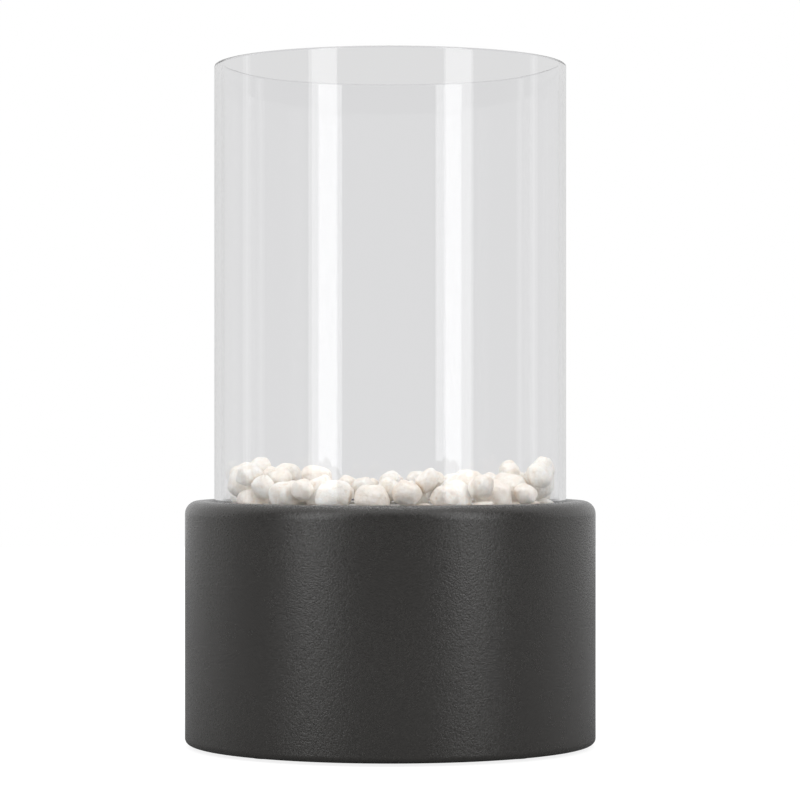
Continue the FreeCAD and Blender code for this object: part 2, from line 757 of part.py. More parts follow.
def damper_blade():
    """The turning blade, with the lid's two openings and a folded-up handle."""
    thin = S["damper_sheet"]
    blade = turned(
        "damper_blade",
        [(PIVOT_HOLE, LID_TOP), (BLADE_R, LID_TOP), (BLADE_R, BLADE_TOP), (PIVOT_HOLE, BLADE_TOP)],
    )
    cut_flame_openings(blade, S["flame_inner"], FLAME_R, 90)
    root = BLADE_R - 2
    inner = EAR_TIP - thin
    top = LID_TOP + S["ear_height"]
    sketch = new_sketch(blade, "XZ_Plane", "ear")
    draw_outline(
        sketch,
        [
            (root, LID_TOP),
            (EAR_TIP, LID_TOP, S["bend_radius"] + thin),
            (EAR_TIP, top),
            (inner, top),
            (inner, BLADE_TOP, S["bend_radius"]),
            (root, BLADE_TOP),
        ],
    )
    ear = blade.newObject("PartDesign::Pad", "damper_ear")
    ear.Profile = sketch
    ear.SideType = "Symmetric"
    ear.setExpression("Length", S["ear_width"].text)
    doc.recompute()
    hook = new_sketch(blade, "YZ_Plane", "hook_hole")
    centre_up = LID_TOP + S["ear_height"] * 0.6
    hole = hook.addGeometry(Part.Circle(Vector(0, centre_up.value, 0), UP, S["ear_hole"].value), False)
    bind(hook, "Radius", (hole,), S["ear_hole"])
    place_point(hook, hole, 3, ZERO, centre_up)
    cut = blade.newObject("PartDesign::Pocket", "hook_hole_cut")
    cut.Profile = hook
    cut.Type = "ThroughAll"
    cut.SideType = "Symmetric"
    doc.recompute()
    if not cut.Shape.Volume < ear.Shape.Volume:
        raise RuntimeError("the hook hole cut nothing from the ear")
    turn_body(blade, DAMPER_REST)


# --------------------------------------- pebbles --------------------------------------
PEBBLE_SEED = 426
PLACES_TRIED = 400  # random places looked at for each pebble; it takes the lowest
MISSES_ALLOWED = 40  # pebbles in a row with no room left before the bed is full
FACETS = 18  # sides that a pebble starts with
COURSES = ("bottom", "middle", "top")
SMALLEST_FACE = 0.4  # square millimetres; a sliver of a side is left out


class Pebble:
    """A pebble as it lands: the ball that it fills, as a centre and a radius."""

    def __init__(self, centre, radius):
        self.centre = centre
        self.radius = radius


def floor_under(place, radius):
    """The height of the deck, or of the fixing that a ball of that radius would land on."""
    floor = DECK_TOP.value
    fixings = (
        (RIVET_CIRCLE.value, S["pop_head"].value, S["pop_dome"].value),
        (DECK_SCREW_CIRCLE.value, S["screw_head"].value, S["head_height"].value),
    )
    for circle, head, height in fixings:
        for corner in range(CORNERS):
            angle = 2 * math.pi * corner / CORNERS
            spot = Vector(circle * math.cos(angle), circle * math.sin(angle), 0)
            if (place - spot).Length < head + radius:
                floor = max(floor, DECK_TOP.value + height)
    return floor + S["stone_gap"].value / 2


def landing(place, radius, bed):
    """Where a ball dropped straight down at place comes to rest."""
    height = floor_under(place, radius) + radius
    for stone in bed:
        apart = Vector(stone.centre.x - place.x, stone.centre.y - place.y, 0).Length
        reach = stone.radius + radius
        if apart < reach:
            height = max(height, stone.centre.z + math.sqrt(reach**2 - apart**2))
    return Vector(place.x, place.y, height)


def heap_top(angle):
    """The top of the bed round the burner: two low mounds and the dips between them."""
    level = DECK_TOP.value + S["heap_height"].value
    return level + S["heap_swing"].value * (0.7 * math.cos(2 * angle + 0.3) + 0.5 * math.cos(5 * angle))


def drop_pebbles(inner, outer):
    """Drops pebbles into the ring between the burner and the glass until it is full."""
    dice = random.Random(PEBBLE_SEED)
    bed, misses = [], 0
    while misses < MISSES_ALLOWED:
        radius = dice.uniform(S["stone_small"].value, S["stone_large"].value)
        best, best_room = None, 0
        for _ in range(PLACES_TRIED):
            angle = dice.uniform(0, 2 * math.pi)
            out = dice.uniform(inner + radius, outer - radius)
            rest = landing(Vector(out * math.cos(angle), out * math.sin(angle), 0), radius, bed)
            room = heap_top(angle) - rest.z - radius
            if room > best_room:
                best, best_room = rest, room
        if best is None:
            misses += 1
        else:
            misses = 0
            bed.append(Pebble(best, radius))
    return bed


def clip_polygon(polygon, point, normal):
    """Keeps the part of a flat polygon that lies behind a plane."""
    kept = []
    for i, corner in enumerate(polygon):
        before = polygon[i - 1]
        d_before, d_corner = (before - point).dot(normal), (corner - point).dot(normal)
        if (d_before > 0) != (d_corner > 0):
            kept.append(before + (corner - before) * (d_before / (d_before - d_corner)))
        if d_corner <= 0:
            kept.append(corner)
    return kept


def plane_polygon(planes, index):
    """The side that one plane gives to the convex solid behind all of the planes."""
    point, normal = planes[index]
    side = normal.cross(Vector(1, 0, 0) if abs(normal.x) < 0.7 else Vector(0, 1, 0)).normalize()
    other = normal.cross(side)
    wide = S["shell_diameter"].value * 2
    polygon = [point + (side * a + other * b) * wide for a, b in ((1, 1), (-1, 1), (-1, -1), (1, -1))]
    for i, (at, facing) in enumerate(planes):
        if i != index and polygon:
            polygon = clip_polygon(polygon, at, facing)
    return polygon


def polygon_area(polygon):
    """The area of a flat polygon."""
    total = Vector()
    for i, corner in enumerate(polygon):
        total += (polygon[i - 1] - polygon[0]).cross(corner - polygon[0])
    return total.Length / 2


def solid_behind(planes):
    """The convex solid behind every plane, without the planes that give only a sliver of a side."""
    while True:
        sides = [plane_polygon(planes, i) for i in range(len(planes))]
        areas = [polygon_area(side) if len(side) > 2 else 0 for side in sides]
        small = [i for i, area in enumerate(areas) if 0 < area < SMALLEST_FACE]
        if not small:
            break
        # A plane is moved in, not dropped, so that the solid only ever gets smaller.
        for i in small:
            point, normal = planes[i]
            planes[i] = (point - normal * 0.25, normal)
    faces = [
        Part.Face(Part.makePolygon(side + side[:1])) for side, area in zip(sides, areas) if area > 0
    ]
    shell = Part.makeShell(faces)
    shell.sewShape()
    return Part.makeSolid(shell)


def stone_planes(stone, bed, inner, outer, dice):
    """The planes round one pebble: its own facets, its neighbours, and the steel and glass."""
    centre, radius, gap = stone.centre, stone.radius, S["stone_gap"].value
    turn = Rotation(Vector(dice.gauss(0, 1), dice.gauss(0, 1), dice.gauss(0, 1)), dice.uniform(0, 360))
    axes = (dice.uniform(1.08, 1.34), dice.uniform(1.0, 1.16), dice.uniform(0.84, 1.0))
    planes = []
    golden = math.pi * (3 - math.sqrt(5))
    for k in range(FACETS):
        up = 1 - (2 * k + 1) / FACETS
        round_z = golden * k + dice.uniform(-0.25, 0.25)
        flat = math.sqrt(1 - up * up)
        way = Vector(flat * math.cos(round_z), flat * math.sin(round_z), up)
        stretch = Vector(way.x * axes[0], way.y * axes[1], way.z * axes[2]).Length
        normal = turn.multVec(way)
        planes.append((centre + normal * radius * stretch * dice.uniform(0.9, 1.04), normal))
    for other in bed:
        away = other.centre - centre
        if other is not stone and away.Length < 2 * (radius + other.radius):
            share = radius / (radius + other.radius)
            normal = Vector(away).normalize()
            planes.append((centre + away * share - normal * gap / 2, normal))
    radial = Vector(centre.x, centre.y, 0).normalize()
    bulge = (1.34 * radius) ** 2 / (2 * outer)
    planes.append((radial * (outer - bulge), radial))
    planes.append((radial * inner, radial * -1))
    floor = floor_under(Vector(centre.x, centre.y, 0), 1.34 * radius)
    planes.append((Vector(centre.x, centre.y, floor), UP * -1))
    return planes


def pebble_bed():
    """The loose pebbles on the deck, in three courses, one group of solids each."""
    gap = S["stone_gap"].value
    inner = LID_R.value + gap * 4
    outer = (DECK_R - S["gasket_width"]).value - gap
    bed = drop_pebbles(inner, outer)
    dice = random.Random(PEBBLE_SEED + 1)
    by_height = sorted(bed, key=lambda stone: stone.centre.z)
    for number, course in enumerate(COURSES):
        first = len(by_height) * number // len(COURSES)
        last = len(by_height) * (number + 1) // len(COURSES)
        solids = [
            solid_behind(stone_planes(stone, bed, inner, outer, dice)) for stone in by_height[first:last]
        ]
        group = doc.addObject("Part::Feature", f"pebbles_{course}")
        group.Label = f"pebbles_{course}"
        group.Shape = Part.makeCompound(solids)
        group.Placement = Placement()


# ---------------------------------------- output --------------------------------------
def build():
    """Builds every sub-part."""
    for make in (
        outer_shell, deck_plate, glass_gasket, burner_well, well_rivets, deck_screws, clinch_nuts,
        plate_brackets, bottom_plate, rubber_feet, bottom_screws, glass_cylinder, burner_can,
        burner_lid, fibre_wick, wick_screen, pivot_rivet, cone_washer, stop_studs, damper_blade,
        pebble_bed,
    ):
        make()
    doc.recompute()


def check_and_export():
    """Checks every object's state and every sub-part's shape, then writes the STEP files."""
    for item in doc.Objects:
        if "Invalid" in item.State or "Error" in item.State:
            raise RuntimeError(f"{item.Label} failed: {item.State}")
    parts = [
        item
        for item in doc.Objects
        if item.isDerivedFrom("PartDesign::Body") or item.TypeId in ("Part::MultiFuse", "Part::Feature")
    ]
    for item in parts:
        if item.Shape.isNull() or not item.Shape.isValid() or not item.Shape.Solids:
            raise RuntimeError(f"{item.Label} has no valid shape")
    os.makedirs("parts", exist_ok=True)
    for item in parts:
        item.Shape.exportStep(f"parts/{item.Label}.step")
        box = item.Shape.BoundBox
        print(f"{item.Label:18s} {len(item.Shape.Solids):3d} solids  z {box.ZMin:7.2f} to {box.ZMax:7.2f}")


build()
check_and_export()
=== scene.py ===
"""A tabletop ethanol fire, dressed: coated steel base, glass chimney, burner and marble pebbles.

Lengths are in metres, +Z is up, and the origin is on the table under the middle of the base.
"""

from __future__ import annotations

import logging
import math
from dataclasses import dataclass, field
from enum import Enum

import bpy
import numpy as np
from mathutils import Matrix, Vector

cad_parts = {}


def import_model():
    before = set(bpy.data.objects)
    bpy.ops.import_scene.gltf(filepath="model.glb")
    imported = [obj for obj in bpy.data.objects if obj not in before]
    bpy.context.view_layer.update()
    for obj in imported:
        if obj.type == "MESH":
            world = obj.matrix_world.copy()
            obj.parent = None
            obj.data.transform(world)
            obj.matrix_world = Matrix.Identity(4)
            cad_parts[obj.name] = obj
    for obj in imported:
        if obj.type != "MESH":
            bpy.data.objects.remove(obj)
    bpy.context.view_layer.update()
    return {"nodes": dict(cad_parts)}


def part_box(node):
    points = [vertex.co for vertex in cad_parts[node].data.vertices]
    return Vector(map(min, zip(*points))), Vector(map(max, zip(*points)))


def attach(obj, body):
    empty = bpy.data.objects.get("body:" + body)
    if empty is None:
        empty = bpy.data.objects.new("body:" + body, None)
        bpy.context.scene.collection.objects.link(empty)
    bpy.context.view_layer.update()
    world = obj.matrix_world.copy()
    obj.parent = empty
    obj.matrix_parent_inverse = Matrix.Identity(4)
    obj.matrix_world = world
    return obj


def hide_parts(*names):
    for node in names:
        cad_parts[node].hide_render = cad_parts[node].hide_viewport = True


LOG = logging.getLogger("table_fire")
MM = 0.001

Colour = tuple[float, float, float]
Socket = bpy.types.NodeSocket
Setting = Socket | float | tuple | str


# ======================================================================================
# Node trees
# ======================================================================================
class Graph:
    """A node tree with short ways to add nodes and wire them up."""

    def __init__(self, tree: bpy.types.NodeTree) -> None:
        """Takes the tree to build in."""
        self.tree = tree
        self._places: Socket | None = None

    def add(
        self, kind: str, settings: dict[str, object] | None = None, **inputs: Setting
    ) -> bpy.types.Node:
        """Adds a node, sets it and feeds its inputs.

        Args:
            kind: the node's type, without its ShaderNode prefix.
            settings: properties of the node itself.
            **inputs: a value or a socket for each input; an underscore stands for a space.

        Returns:
            The new node.
        """
        node = self.tree.nodes.new(f"ShaderNode{kind}")
        for name, value in (settings or {}).items():
            setattr(node, name, value)
        for name, value in inputs.items():
            self.feed(node.inputs[name.replace("_", " ")], value)
        return node

    def feed(self, socket: Socket, value: Setting) -> None:
        """Links a socket to an input, or sets the input to a plain value."""
        if isinstance(value, bpy.types.NodeSocket):
            self.tree.links.new(value, socket)
        elif isinstance(value, tuple) and socket.type == "RGBA" and len(value) == 3:
            socket.default_value = (*value, 1.0)
        else:
            socket.default_value = value

    @property
    def places(self) -> Socket:
        """The surface's own place, in metres."""
        if self._places is None:
            self._places = self.add("TexCoord").outputs["Object"]
        return self._places

    def maths(self, operation: str, *values: Setting, clamp: bool = False) -> Socket:
        """One arithmetic step.

        Args:
            operation: the Math node's operation.
            *values: its one to three inputs.
            clamp: whether the result is kept between 0 and 1.

        Returns:
            The result.
        """
        node = self.add("Math", {"operation": operation, "use_clamp": clamp})
        for socket, value in zip(node.inputs, values):
            self.feed(socket, value)
        return node.outputs[0]

    def remap(
        self, value: Setting, start: float, end: float, low: float = 0.0, high: float = 1.0
    ) -> Socket:
        """Carries start..end smoothly to low..high and holds it there outside.

        Args:
            value: what is remapped.
            start: the value that gives low.
            end: the value that gives high.
            low: the first result.
            high: the last result.

        Returns:
            The remapped value.
        """
        node = self.add("MapRange", {"interpolation_type": "SMOOTHSTEP"}, Value=value)
        for name, number in (("From Min", start), ("From Max", end), ("To Min", low), ("To Max", high)):
            node.inputs[name].default_value = number
        return node.outputs[0]

    def mix(self, share: Setting, first: Setting, second: Setting) -> Socket:
        """Mixes two colours.

        Args:
            share: how much of the second colour, from 0 to 1.
            first: the colour at share 0.
            second: the colour at share 1.

        Returns:
            The mixed colour.
        """
        node = self.add("Mix", {"data_type": "RGBA"})
        for index, value in ((0, share), (6, first), (7, second)):
            self.feed(node.inputs[index], value)
        return node.outputs[2]

    def noise(
        self, scale: Setting, detail: float = 3.0, rough: float = 0.5, at: Socket | None = None
    ) -> Socket:
        """Soft noise from 0 to 1.

        Args:
            scale: lumps per metre.
            detail: how many finer layers lie on it.
            rough: how strong those layers are.
            at: where it is read, the surface's own place if left out.

        Returns:
            The noise value.
        """
        node = self.add("TexNoise", Vector=at or self.places, Scale=scale, Detail=detail, Roughness=rough)
        return node.outputs[0]

    def stretched(self, across: float, along: float, up: float) -> Socket:
        """The surface's place with each axis scaled by its own factor."""
        node = self.add("Mapping", Vector=self.places)
        node.inputs["Scale"].default_value = (across, along, up)
        return node.outputs[0]

    def ramp(self, value: Socket, stops: list[tuple[float, Colour]]) -> Socket:
        """A colour read off a scale.

        Args:
            value: where on the scale, from 0 to 1.
            stops: places on the scale and their colours.

        Returns:
            The colour.
        """
        node = self.add("ValToRGB", Fac=value)
        scale = node.color_ramp.elements
        for element in list(scale)[1:]:
            scale.remove(element)
        for index, (place, colour) in enumerate(stops):
            element = scale[0] if index == 0 else scale.new(place)
            element.position = place
            element.color = (*colour, 1.0)
        return node.outputs[0]

    def bump(self, height: Socket, depth: Setting) -> Socket:
        """Relief on the surface.

        Args:
            height: relief from 0 to 1.
            depth: metres from 0 to 1.

        Returns:
            The bumped normal.
        """
        return self.add("Bump", Height=height, Distance=depth, Strength=1.0).outputs[0]

    def skin(self, shader: bpy.types.Node, colour: Socket, gloss: Socket, relief: Socket) -> Socket:
        """Feeds a shader its colour, roughness and relief, and returns the surface that it shows."""
        for name, value in (("Base Color", colour), ("Roughness", gloss), ("Normal", relief)):
            self.feed(shader.inputs[name], value)
        return shader.outputs[0]

    def use(self, group: "Effect", **inputs: Setting) -> bpy.types.Node:
        """Places one of the shared effects in this tree.

        Args:
            group: which effect.
            **inputs: its inputs; an underscore stands for a space.

        Returns:
            The group node.
        """
        node = self.tree.nodes.new("ShaderNodeGroup")
        node.node_tree = group.tree()
        for name, value in inputs.items():
            self.feed(node.inputs[name.replace("_", " ")], value)
        return node


class Effect(Enum):
    """Effects that several finishes share, each one node group."""

    GRAIN = "fine_grain"
    WEAR = "worn_edges"
    BRUSHING = "brushed_lines"
    HANDLING = "handling_marks"
    HEAT = "heat_tint"

    def tree(self) -> bpy.types.NodeTree:
        """The effect's node group, built the first time that it is asked for."""
        made = bpy.data.node_groups.get(self.value)
        return made if made is not None else self._build()

    def _build(self) -> bpy.types.NodeTree:
        """Builds the effect's node group with its named sockets."""
        makers = {
            Effect.GRAIN: self._grain,
            Effect.WEAR: self._wear,
            Effect.BRUSHING: self._brushing,
            Effect.HANDLING: self._handling,
            Effect.HEAT: self._heat,
        }
        tree = bpy.data.node_groups.new(self.value, "ShaderNodeTree")
        makers[self](tree)
        return tree

    @staticmethod
    def _sockets(
        tree: bpy.types.NodeTree, inputs: dict[str, float], outputs: dict[str, str]
    ) -> tuple[Graph, dict[str, Socket], bpy.types.Node]:
        """Makes a group's sockets.

        Args:
            tree: the group.
            inputs: each number that the group takes, and its usual value.
            outputs: each thing that the group gives, and its socket type.

        Returns:
            A graph for the group, its inputs by name, and its output node.
        """
        graph = Graph(tree)
        for name, value in inputs.items():
            socket = tree.interface.new_socket(name, in_out="INPUT", socket_type="NodeSocketFloat")
            socket.default_value = value
        for name, kind in outputs.items():
            tree.interface.new_socket(name, in_out="OUTPUT", socket_type=f"NodeSocket{kind}")
        taken = tree.nodes.new("NodeGroupInput")
        given = tree.nodes.new("NodeGroupOutput")
        return graph, {name: taken.outputs[name] for name in inputs}, given

    @classmethod
    def _grain(cls, tree: bpy.types.NodeTree) -> None:
        """Fine pimples: two layers of noise, the second twice as fine."""
        graph, given, out = cls._sockets(
            tree, {"Scale": 1500.0, "Depth": 2e-5}, {"Value": "Float", "Normal": "Vector"}
        )
        coarse = graph.noise(given["Scale"], 2.0, 0.6)
        fine = graph.noise(graph.maths("MULTIPLY", given["Scale"], 2.1), 1.0, 0.5)
        value = graph.maths("ADD", graph.maths("MULTIPLY", coarse, 0.65), graph.maths("MULTIPLY", fine, 0.35))
        value = graph.remap(value, 0.32, 0.68)
        graph.feed(out.inputs["Value"], value)
        graph.feed(out.inputs["Normal"], graph.bump(value, given["Depth"]))

    @classmethod
    def _wear(cls, tree: bpy.types.NodeTree) -> None:
        """A mask of edges that stand proud, broken up by noise."""
        graph, given, out = cls._sockets(tree, {"Amount": 0.5, "Patch Scale": 120.0}, {"Mask": "Float"})
        proud = graph.add("NewGeometry").outputs["Pointiness"]
        edge = graph.remap(proud, 0.505, 0.56)
        patches = graph.remap(graph.noise(given["Patch Scale"], 4.0, 0.6), 0.42, 0.62)
        mask = graph.maths("MULTIPLY", edge, patches)
        graph.feed(out.inputs["Mask"], graph.maths("MULTIPLY", mask, given["Amount"], clamp=True))

    @classmethod
    def _brushing(cls, tree: bpy.types.NodeTree) -> None:
        """Fine lines round the axis, from noise that is read by radius and height only."""
        graph, given, out = cls._sockets(
            tree, {"Scale": 4000.0, "Depth": 3e-6}, {"Value": "Float", "Normal": "Vector"}
        )
        parts = graph.add("SeparateXYZ", Vector=graph.places).outputs
        square = [graph.maths("MULTIPLY", parts[i], parts[i]) for i in (0, 1)]
        radius = graph.maths("SQRT", graph.maths("ADD", *square))
        drift = graph.maths("MULTIPLY", graph.noise(25.0, 1.0), 4e-4)
        where = graph.add("CombineXYZ", X=graph.maths("ADD", radius, drift), Y=parts[2], Z=0.0)
        lines = graph.noise(given["Scale"], 3.0, 0.7, where.outputs[0])
        breaks = graph.noise(160.0, 2.0)
        value = graph.remap(graph.maths("ADD", lines, graph.maths("MULTIPLY", breaks, 0.3)), 0.35, 0.95)
        graph.feed(out.inputs["Value"], value)
        graph.feed(out.inputs["Normal"], graph.bump(value, given["Depth"]))

    @classmethod
    def _handling(cls, tree: bpy.types.NodeTree) -> None:
        """Broad cloudy marks from wiping and handling."""
        graph, given, out = cls._sockets(tree, {"Scale": 28.0, "Contrast": 0.5}, {"Mask": "Float"})
        clouds = graph.noise(given["Scale"], 5.0, 0.62)
        streaks = graph.noise(90.0, 3.0, 0.6, graph.stretched(1.0, 1.0, 0.25))
        both = graph.maths("ADD", graph.maths("MULTIPLY", clouds, 0.7), graph.maths("MULTIPLY", streaks, 0.3))
        mask = graph.remap(both, 0.38, 0.64)
        graph.feed(out.inputs["Mask"], graph.maths("MULTIPLY", mask, given["Contrast"]))

    @classmethod
    def _heat(cls, tree: bpy.types.NodeTree) -> None:
        """Straw, violet and blue oxide round the two flame openings on the X axis."""
        graph, given, out = cls._sockets(
            tree, {"Reach": 0.02, "Centre": 0.021}, {"Color": "Color", "Mask": "Float"}
        )
        parts = graph.add("SeparateXYZ", Vector=graph.places).outputs
        along = graph.maths("SUBTRACT", graph.maths("ABSOLUTE", parts[0]), given["Centre"])
        square = [graph.maths("MULTIPLY", value, value) for value in (along, parts[1])]
        away = graph.maths("SQRT", graph.maths("ADD", *square))
        ragged = graph.maths("MULTIPLY", graph.maths("SUBTRACT", graph.noise(70.0, 3.0), 0.5), 0.016)
        share = graph.maths("DIVIDE", graph.maths("ADD", away, ragged), given["Reach"], clamp=True)
        tint = graph.ramp(
            share,
            [
                (0.0, (0.20, 0.22, 0.27)),
                (0.45, (0.15, 0.20, 0.36)),
                (0.62, (0.30, 0.18, 0.34)),
                (0.78, (0.55, 0.36, 0.14)),
                (1.0, (0.56, 0.52, 0.45)),
            ],
        )
        graph.feed(out.inputs["Color"], tint)
        graph.feed(out.inputs["Mask"], graph.maths("SUBTRACT", 1.0, share))


# ======================================================================================
# Finishes
# ======================================================================================
@dataclass(frozen=True)
class Finish:
    """What every finish has: a name, and a material made from its own nodes."""

    name: str

    def material(self) -> bpy.types.Material:
        """The finish's material, made once."""
        made = bpy.data.materials.get(self.name)
        if made is not None:
            return made
        made = bpy.data.materials.new(self.name)
        made.use_nodes = True
        made.node_tree.nodes.clear()
        graph = Graph(made.node_tree)
        shader = graph.add("BsdfPrincipled")
        out = graph.add("OutputMaterial")
        graph.feed(out.inputs["Surface"], self.surface(graph, shader))
        return made

    def surface(self, graph: Graph, shader: bpy.types.Node) -> Socket:
        """Sets the shader up and returns the surface to show; each finish has its own."""
        raise NotImplementedError

    def coat(self, piece: bpy.types.Object) -> bpy.types.Object:
        """Puts the finish on every slot of a piece.

        Args:
            piece: the object to dress.

        Returns:
            The same object.
        """
        if not piece.material_slots:
            piece.data.materials.append(self.material())
        for place in piece.material_slots:
            place.link = "OBJECT"
            place.material = self.material()
        return piece


@dataclass(frozen=True)
class PowderCoat(Finish):
    """Baked powder on steel: satin, with a fine pimpled grain and rubbed edges."""

    colour: Colour = (0.0236, 0.0219, 0.0196)
    pale: Colour = (0.06, 0.058, 0.054)
    roughness: float = 0.25
    shine: float = 1.0
    grain_scale: float = 1150.0
    grain_depth: float = 5.5e-5

    def surface(self, graph: Graph, shader: bpy.types.Node) -> Socket:
        """Grain in the relief, colour and gloss, with rubbed edges a little paler."""
        grain = graph.use(Effect.GRAIN, Scale=self.grain_scale, Depth=self.grain_depth)
        wear = graph.use(Effect.WEAR, Amount=0.35, Patch_Scale=90.0)
        marks = graph.use(Effect.HANDLING, Scale=22.0, Contrast=1.0)
        dark = tuple(0.8 * part for part in self.colour)
        light = tuple(1.25 * part for part in self.colour)
        colour = graph.mix(grain.outputs["Value"], dark, light)
        colour = graph.mix(wear.outputs["Mask"], colour, self.pale)
        gloss = graph.remap(grain.outputs["Value"], 0.0, 1.0, self.roughness - 0.05, self.roughness + 0.06)
        gloss = graph.maths("SUBTRACT", gloss, graph.maths("MULTIPLY", marks.outputs["Mask"], 0.05))
        shader.inputs["Specular IOR Level"].default_value = self.shine
        return graph.skin(shader, colour, gloss, grain.outputs["Normal"])


@dataclass(frozen=True)
class ClearGlass(Finish):
    """Drawn borosilicate, wiped clean but for faint cloudy marks in its gloss."""

    tint: Colour = (0.985, 0.985, 0.99)
    index: float = 1.47

    def surface(self, graph: Graph, shader: bpy.types.Node) -> Socket:
        """Clear glass that lets lamp light straight through to what stands inside it."""
        marks = graph.use(Effect.HANDLING, Scale=14.0, Contrast=1.0)
        graph.feed(shader.inputs["Base Color"], self.tint)
        shader.inputs["Transmission Weight"].default_value = 1.0
        shader.inputs["IOR"].default_value = self.index
        graph.feed(shader.inputs["Roughness"], graph.remap(marks.outputs["Mask"], 0.6, 1.0, 0.0, 0.025))
        clear = graph.add("BsdfTransparent", Color=tuple(0.97 * part for part in self.tint))
        path = graph.add("LightPath").outputs
        through = graph.maths("MAXIMUM", path["Is Shadow Ray"], path["Is Diffuse Ray"])
        both = graph.add("MixShader", Fac=through)
        graph.feed(both.inputs[1], shader.outputs[0])
        graph.feed(both.inputs[2], clear.outputs[0])
        return both.outputs[0]


@dataclass(frozen=True)
class TumbledMarble(Finish):
    """Tumbled marble: cream, mottled and faintly veined, a dry skin, and warm painted shade in crevices."""

    pale: Colour = (0.97, 0.95, 0.90)
    warm: Colour = (0.97, 0.90, 0.82)
    grey: Colour = (0.90, 0.90, 0.86)
    vein: Colour = (0.78, 0.66, 0.53)
    # Warm tint of the painted shade in the crevices between stones and in the low spots of the skin.
    crevice_shade: Colour = (0.80, 0.62, 0.45)
    shade_reach: float = 3.5 * MM
    skin_depth: float = 0.9 * MM

    def surface(self, graph: Graph, shader: bpy.types.Node) -> Socket:
        """Clouds, mottle, warped veins, a tone per stone, a dry pitted skin, and painted shade in hollows."""
        tone = graph.add("Attribute", {"attribute_name": "tone"}).outputs["Fac"]
        clouds = graph.remap(graph.noise(70.0, 5.0, 0.6), 0.35, 0.7)
        warp = graph.add("TexNoise", Vector=graph.places, Scale=55.0, Detail=4.0, Distortion=1.5)
        veins = graph.maths("ABSOLUTE", graph.maths("SUBTRACT", warp.outputs[0], 0.5))
        veins = graph.remap(veins, 0.035, 0.0)
        warmth = graph.maths("MULTIPLY", graph.remap(tone, 0.25, 1.0), 0.75)
        colour = graph.mix(graph.maths("MULTIPLY", clouds, 0.35), self.pale, self.grey)
        colour = graph.mix(warmth, colour, self.warm)
        mottle = graph.remap(graph.noise(330.0, 5.0, 0.65), 0.42, 0.6)
        colour = graph.mix(graph.maths("MULTIPLY", mottle, 0.3), colour, self.vein)
        colour = graph.mix(graph.maths("MULTIPLY", veins, 0.3), colour, self.vein)
        # Painted shade: ambient occlusion within each course tints the crevices towards the warm shade
        # colour.
        own_shade = {"samples": 6, "only_local": True}
        painted_shade = graph.add("AmbientOcclusion", own_shade, Distance=self.shade_reach).outputs["AO"]
        painted_shade = graph.remap(painted_shade, 0.62, 0.1)
        colour = graph.mix(graph.maths("MULTIPLY", painted_shade, 0.9), colour, self.crevice_shade)
        pits = graph.remap(graph.noise(1300.0, 2.0, 0.6), 0.3, 0.42)
        skin = graph.noise(300.0, 6.0, 0.68)
        # Painted shade: the low spots of the skin relief are tinted towards the same warm shade colour.
        colour = graph.mix(graph.remap(skin, 0.42, 0.3, 0.0, 0.5), colour, self.crevice_shade)
        height = graph.maths("ADD", graph.maths("MULTIPLY", pits, 0.2), skin)
        shader.inputs["Subsurface Weight"].default_value = 0.08
        shader.inputs["Subsurface Radius"].default_value = (1.0, 0.62, 0.4)
        shader.inputs["Subsurface Scale"].default_value = 1.5 * MM
        gloss = graph.remap(skin, 0.3, 0.7, 0.55, 0.8)
        return graph.skin(shader, colour, gloss, graph.bump(height, self.skin_depth))


@dataclass(frozen=True)
class BrushedSteel(Finish):
    """Stainless steel brushed round its axis, with oxide colours where the flame plays on it."""

    colour: Colour = (0.56, 0.545, 0.525)
    roughness: float = 0.3
    line_scale: float = 3500.0
    line_depth: float = 2.5e-6
    heat_reach: float = 0.024
    heat: float = 0.6

    def surface(self, graph: Graph, shader: bpy.types.Node) -> Socket:
        """Lines in the relief and gloss, wiping marks, and heat tint by the flame openings."""
        lines = graph.use(Effect.BRUSHING, Scale=self.line_scale, Depth=self.line_depth)
        marks = graph.use(Effect.HANDLING, Scale=60.0, Contrast=1.0)
        tint = graph.use(Effect.HEAT, Reach=self.heat_reach)
        dull = tuple(0.78 * part for part in self.colour)
        colour = graph.mix(lines.outputs["Value"], dull, self.colour)
        share = graph.maths("POWER", tint.outputs["Mask"], 0.35)
        colour = graph.mix(graph.maths("MULTIPLY", share, self.heat), colour, tint.outputs["Color"])
        gloss = graph.remap(lines.outputs["Value"], 0.0, 1.0, self.roughness + 0.08, self.roughness - 0.05)
        gloss = graph.maths("ADD", gloss, graph.maths("MULTIPLY", marks.outputs["Mask"], 0.12))
        shader.inputs["Metallic"].default_value = 1.0
        return graph.skin(shader, colour, gloss, lines.outputs["Normal"])


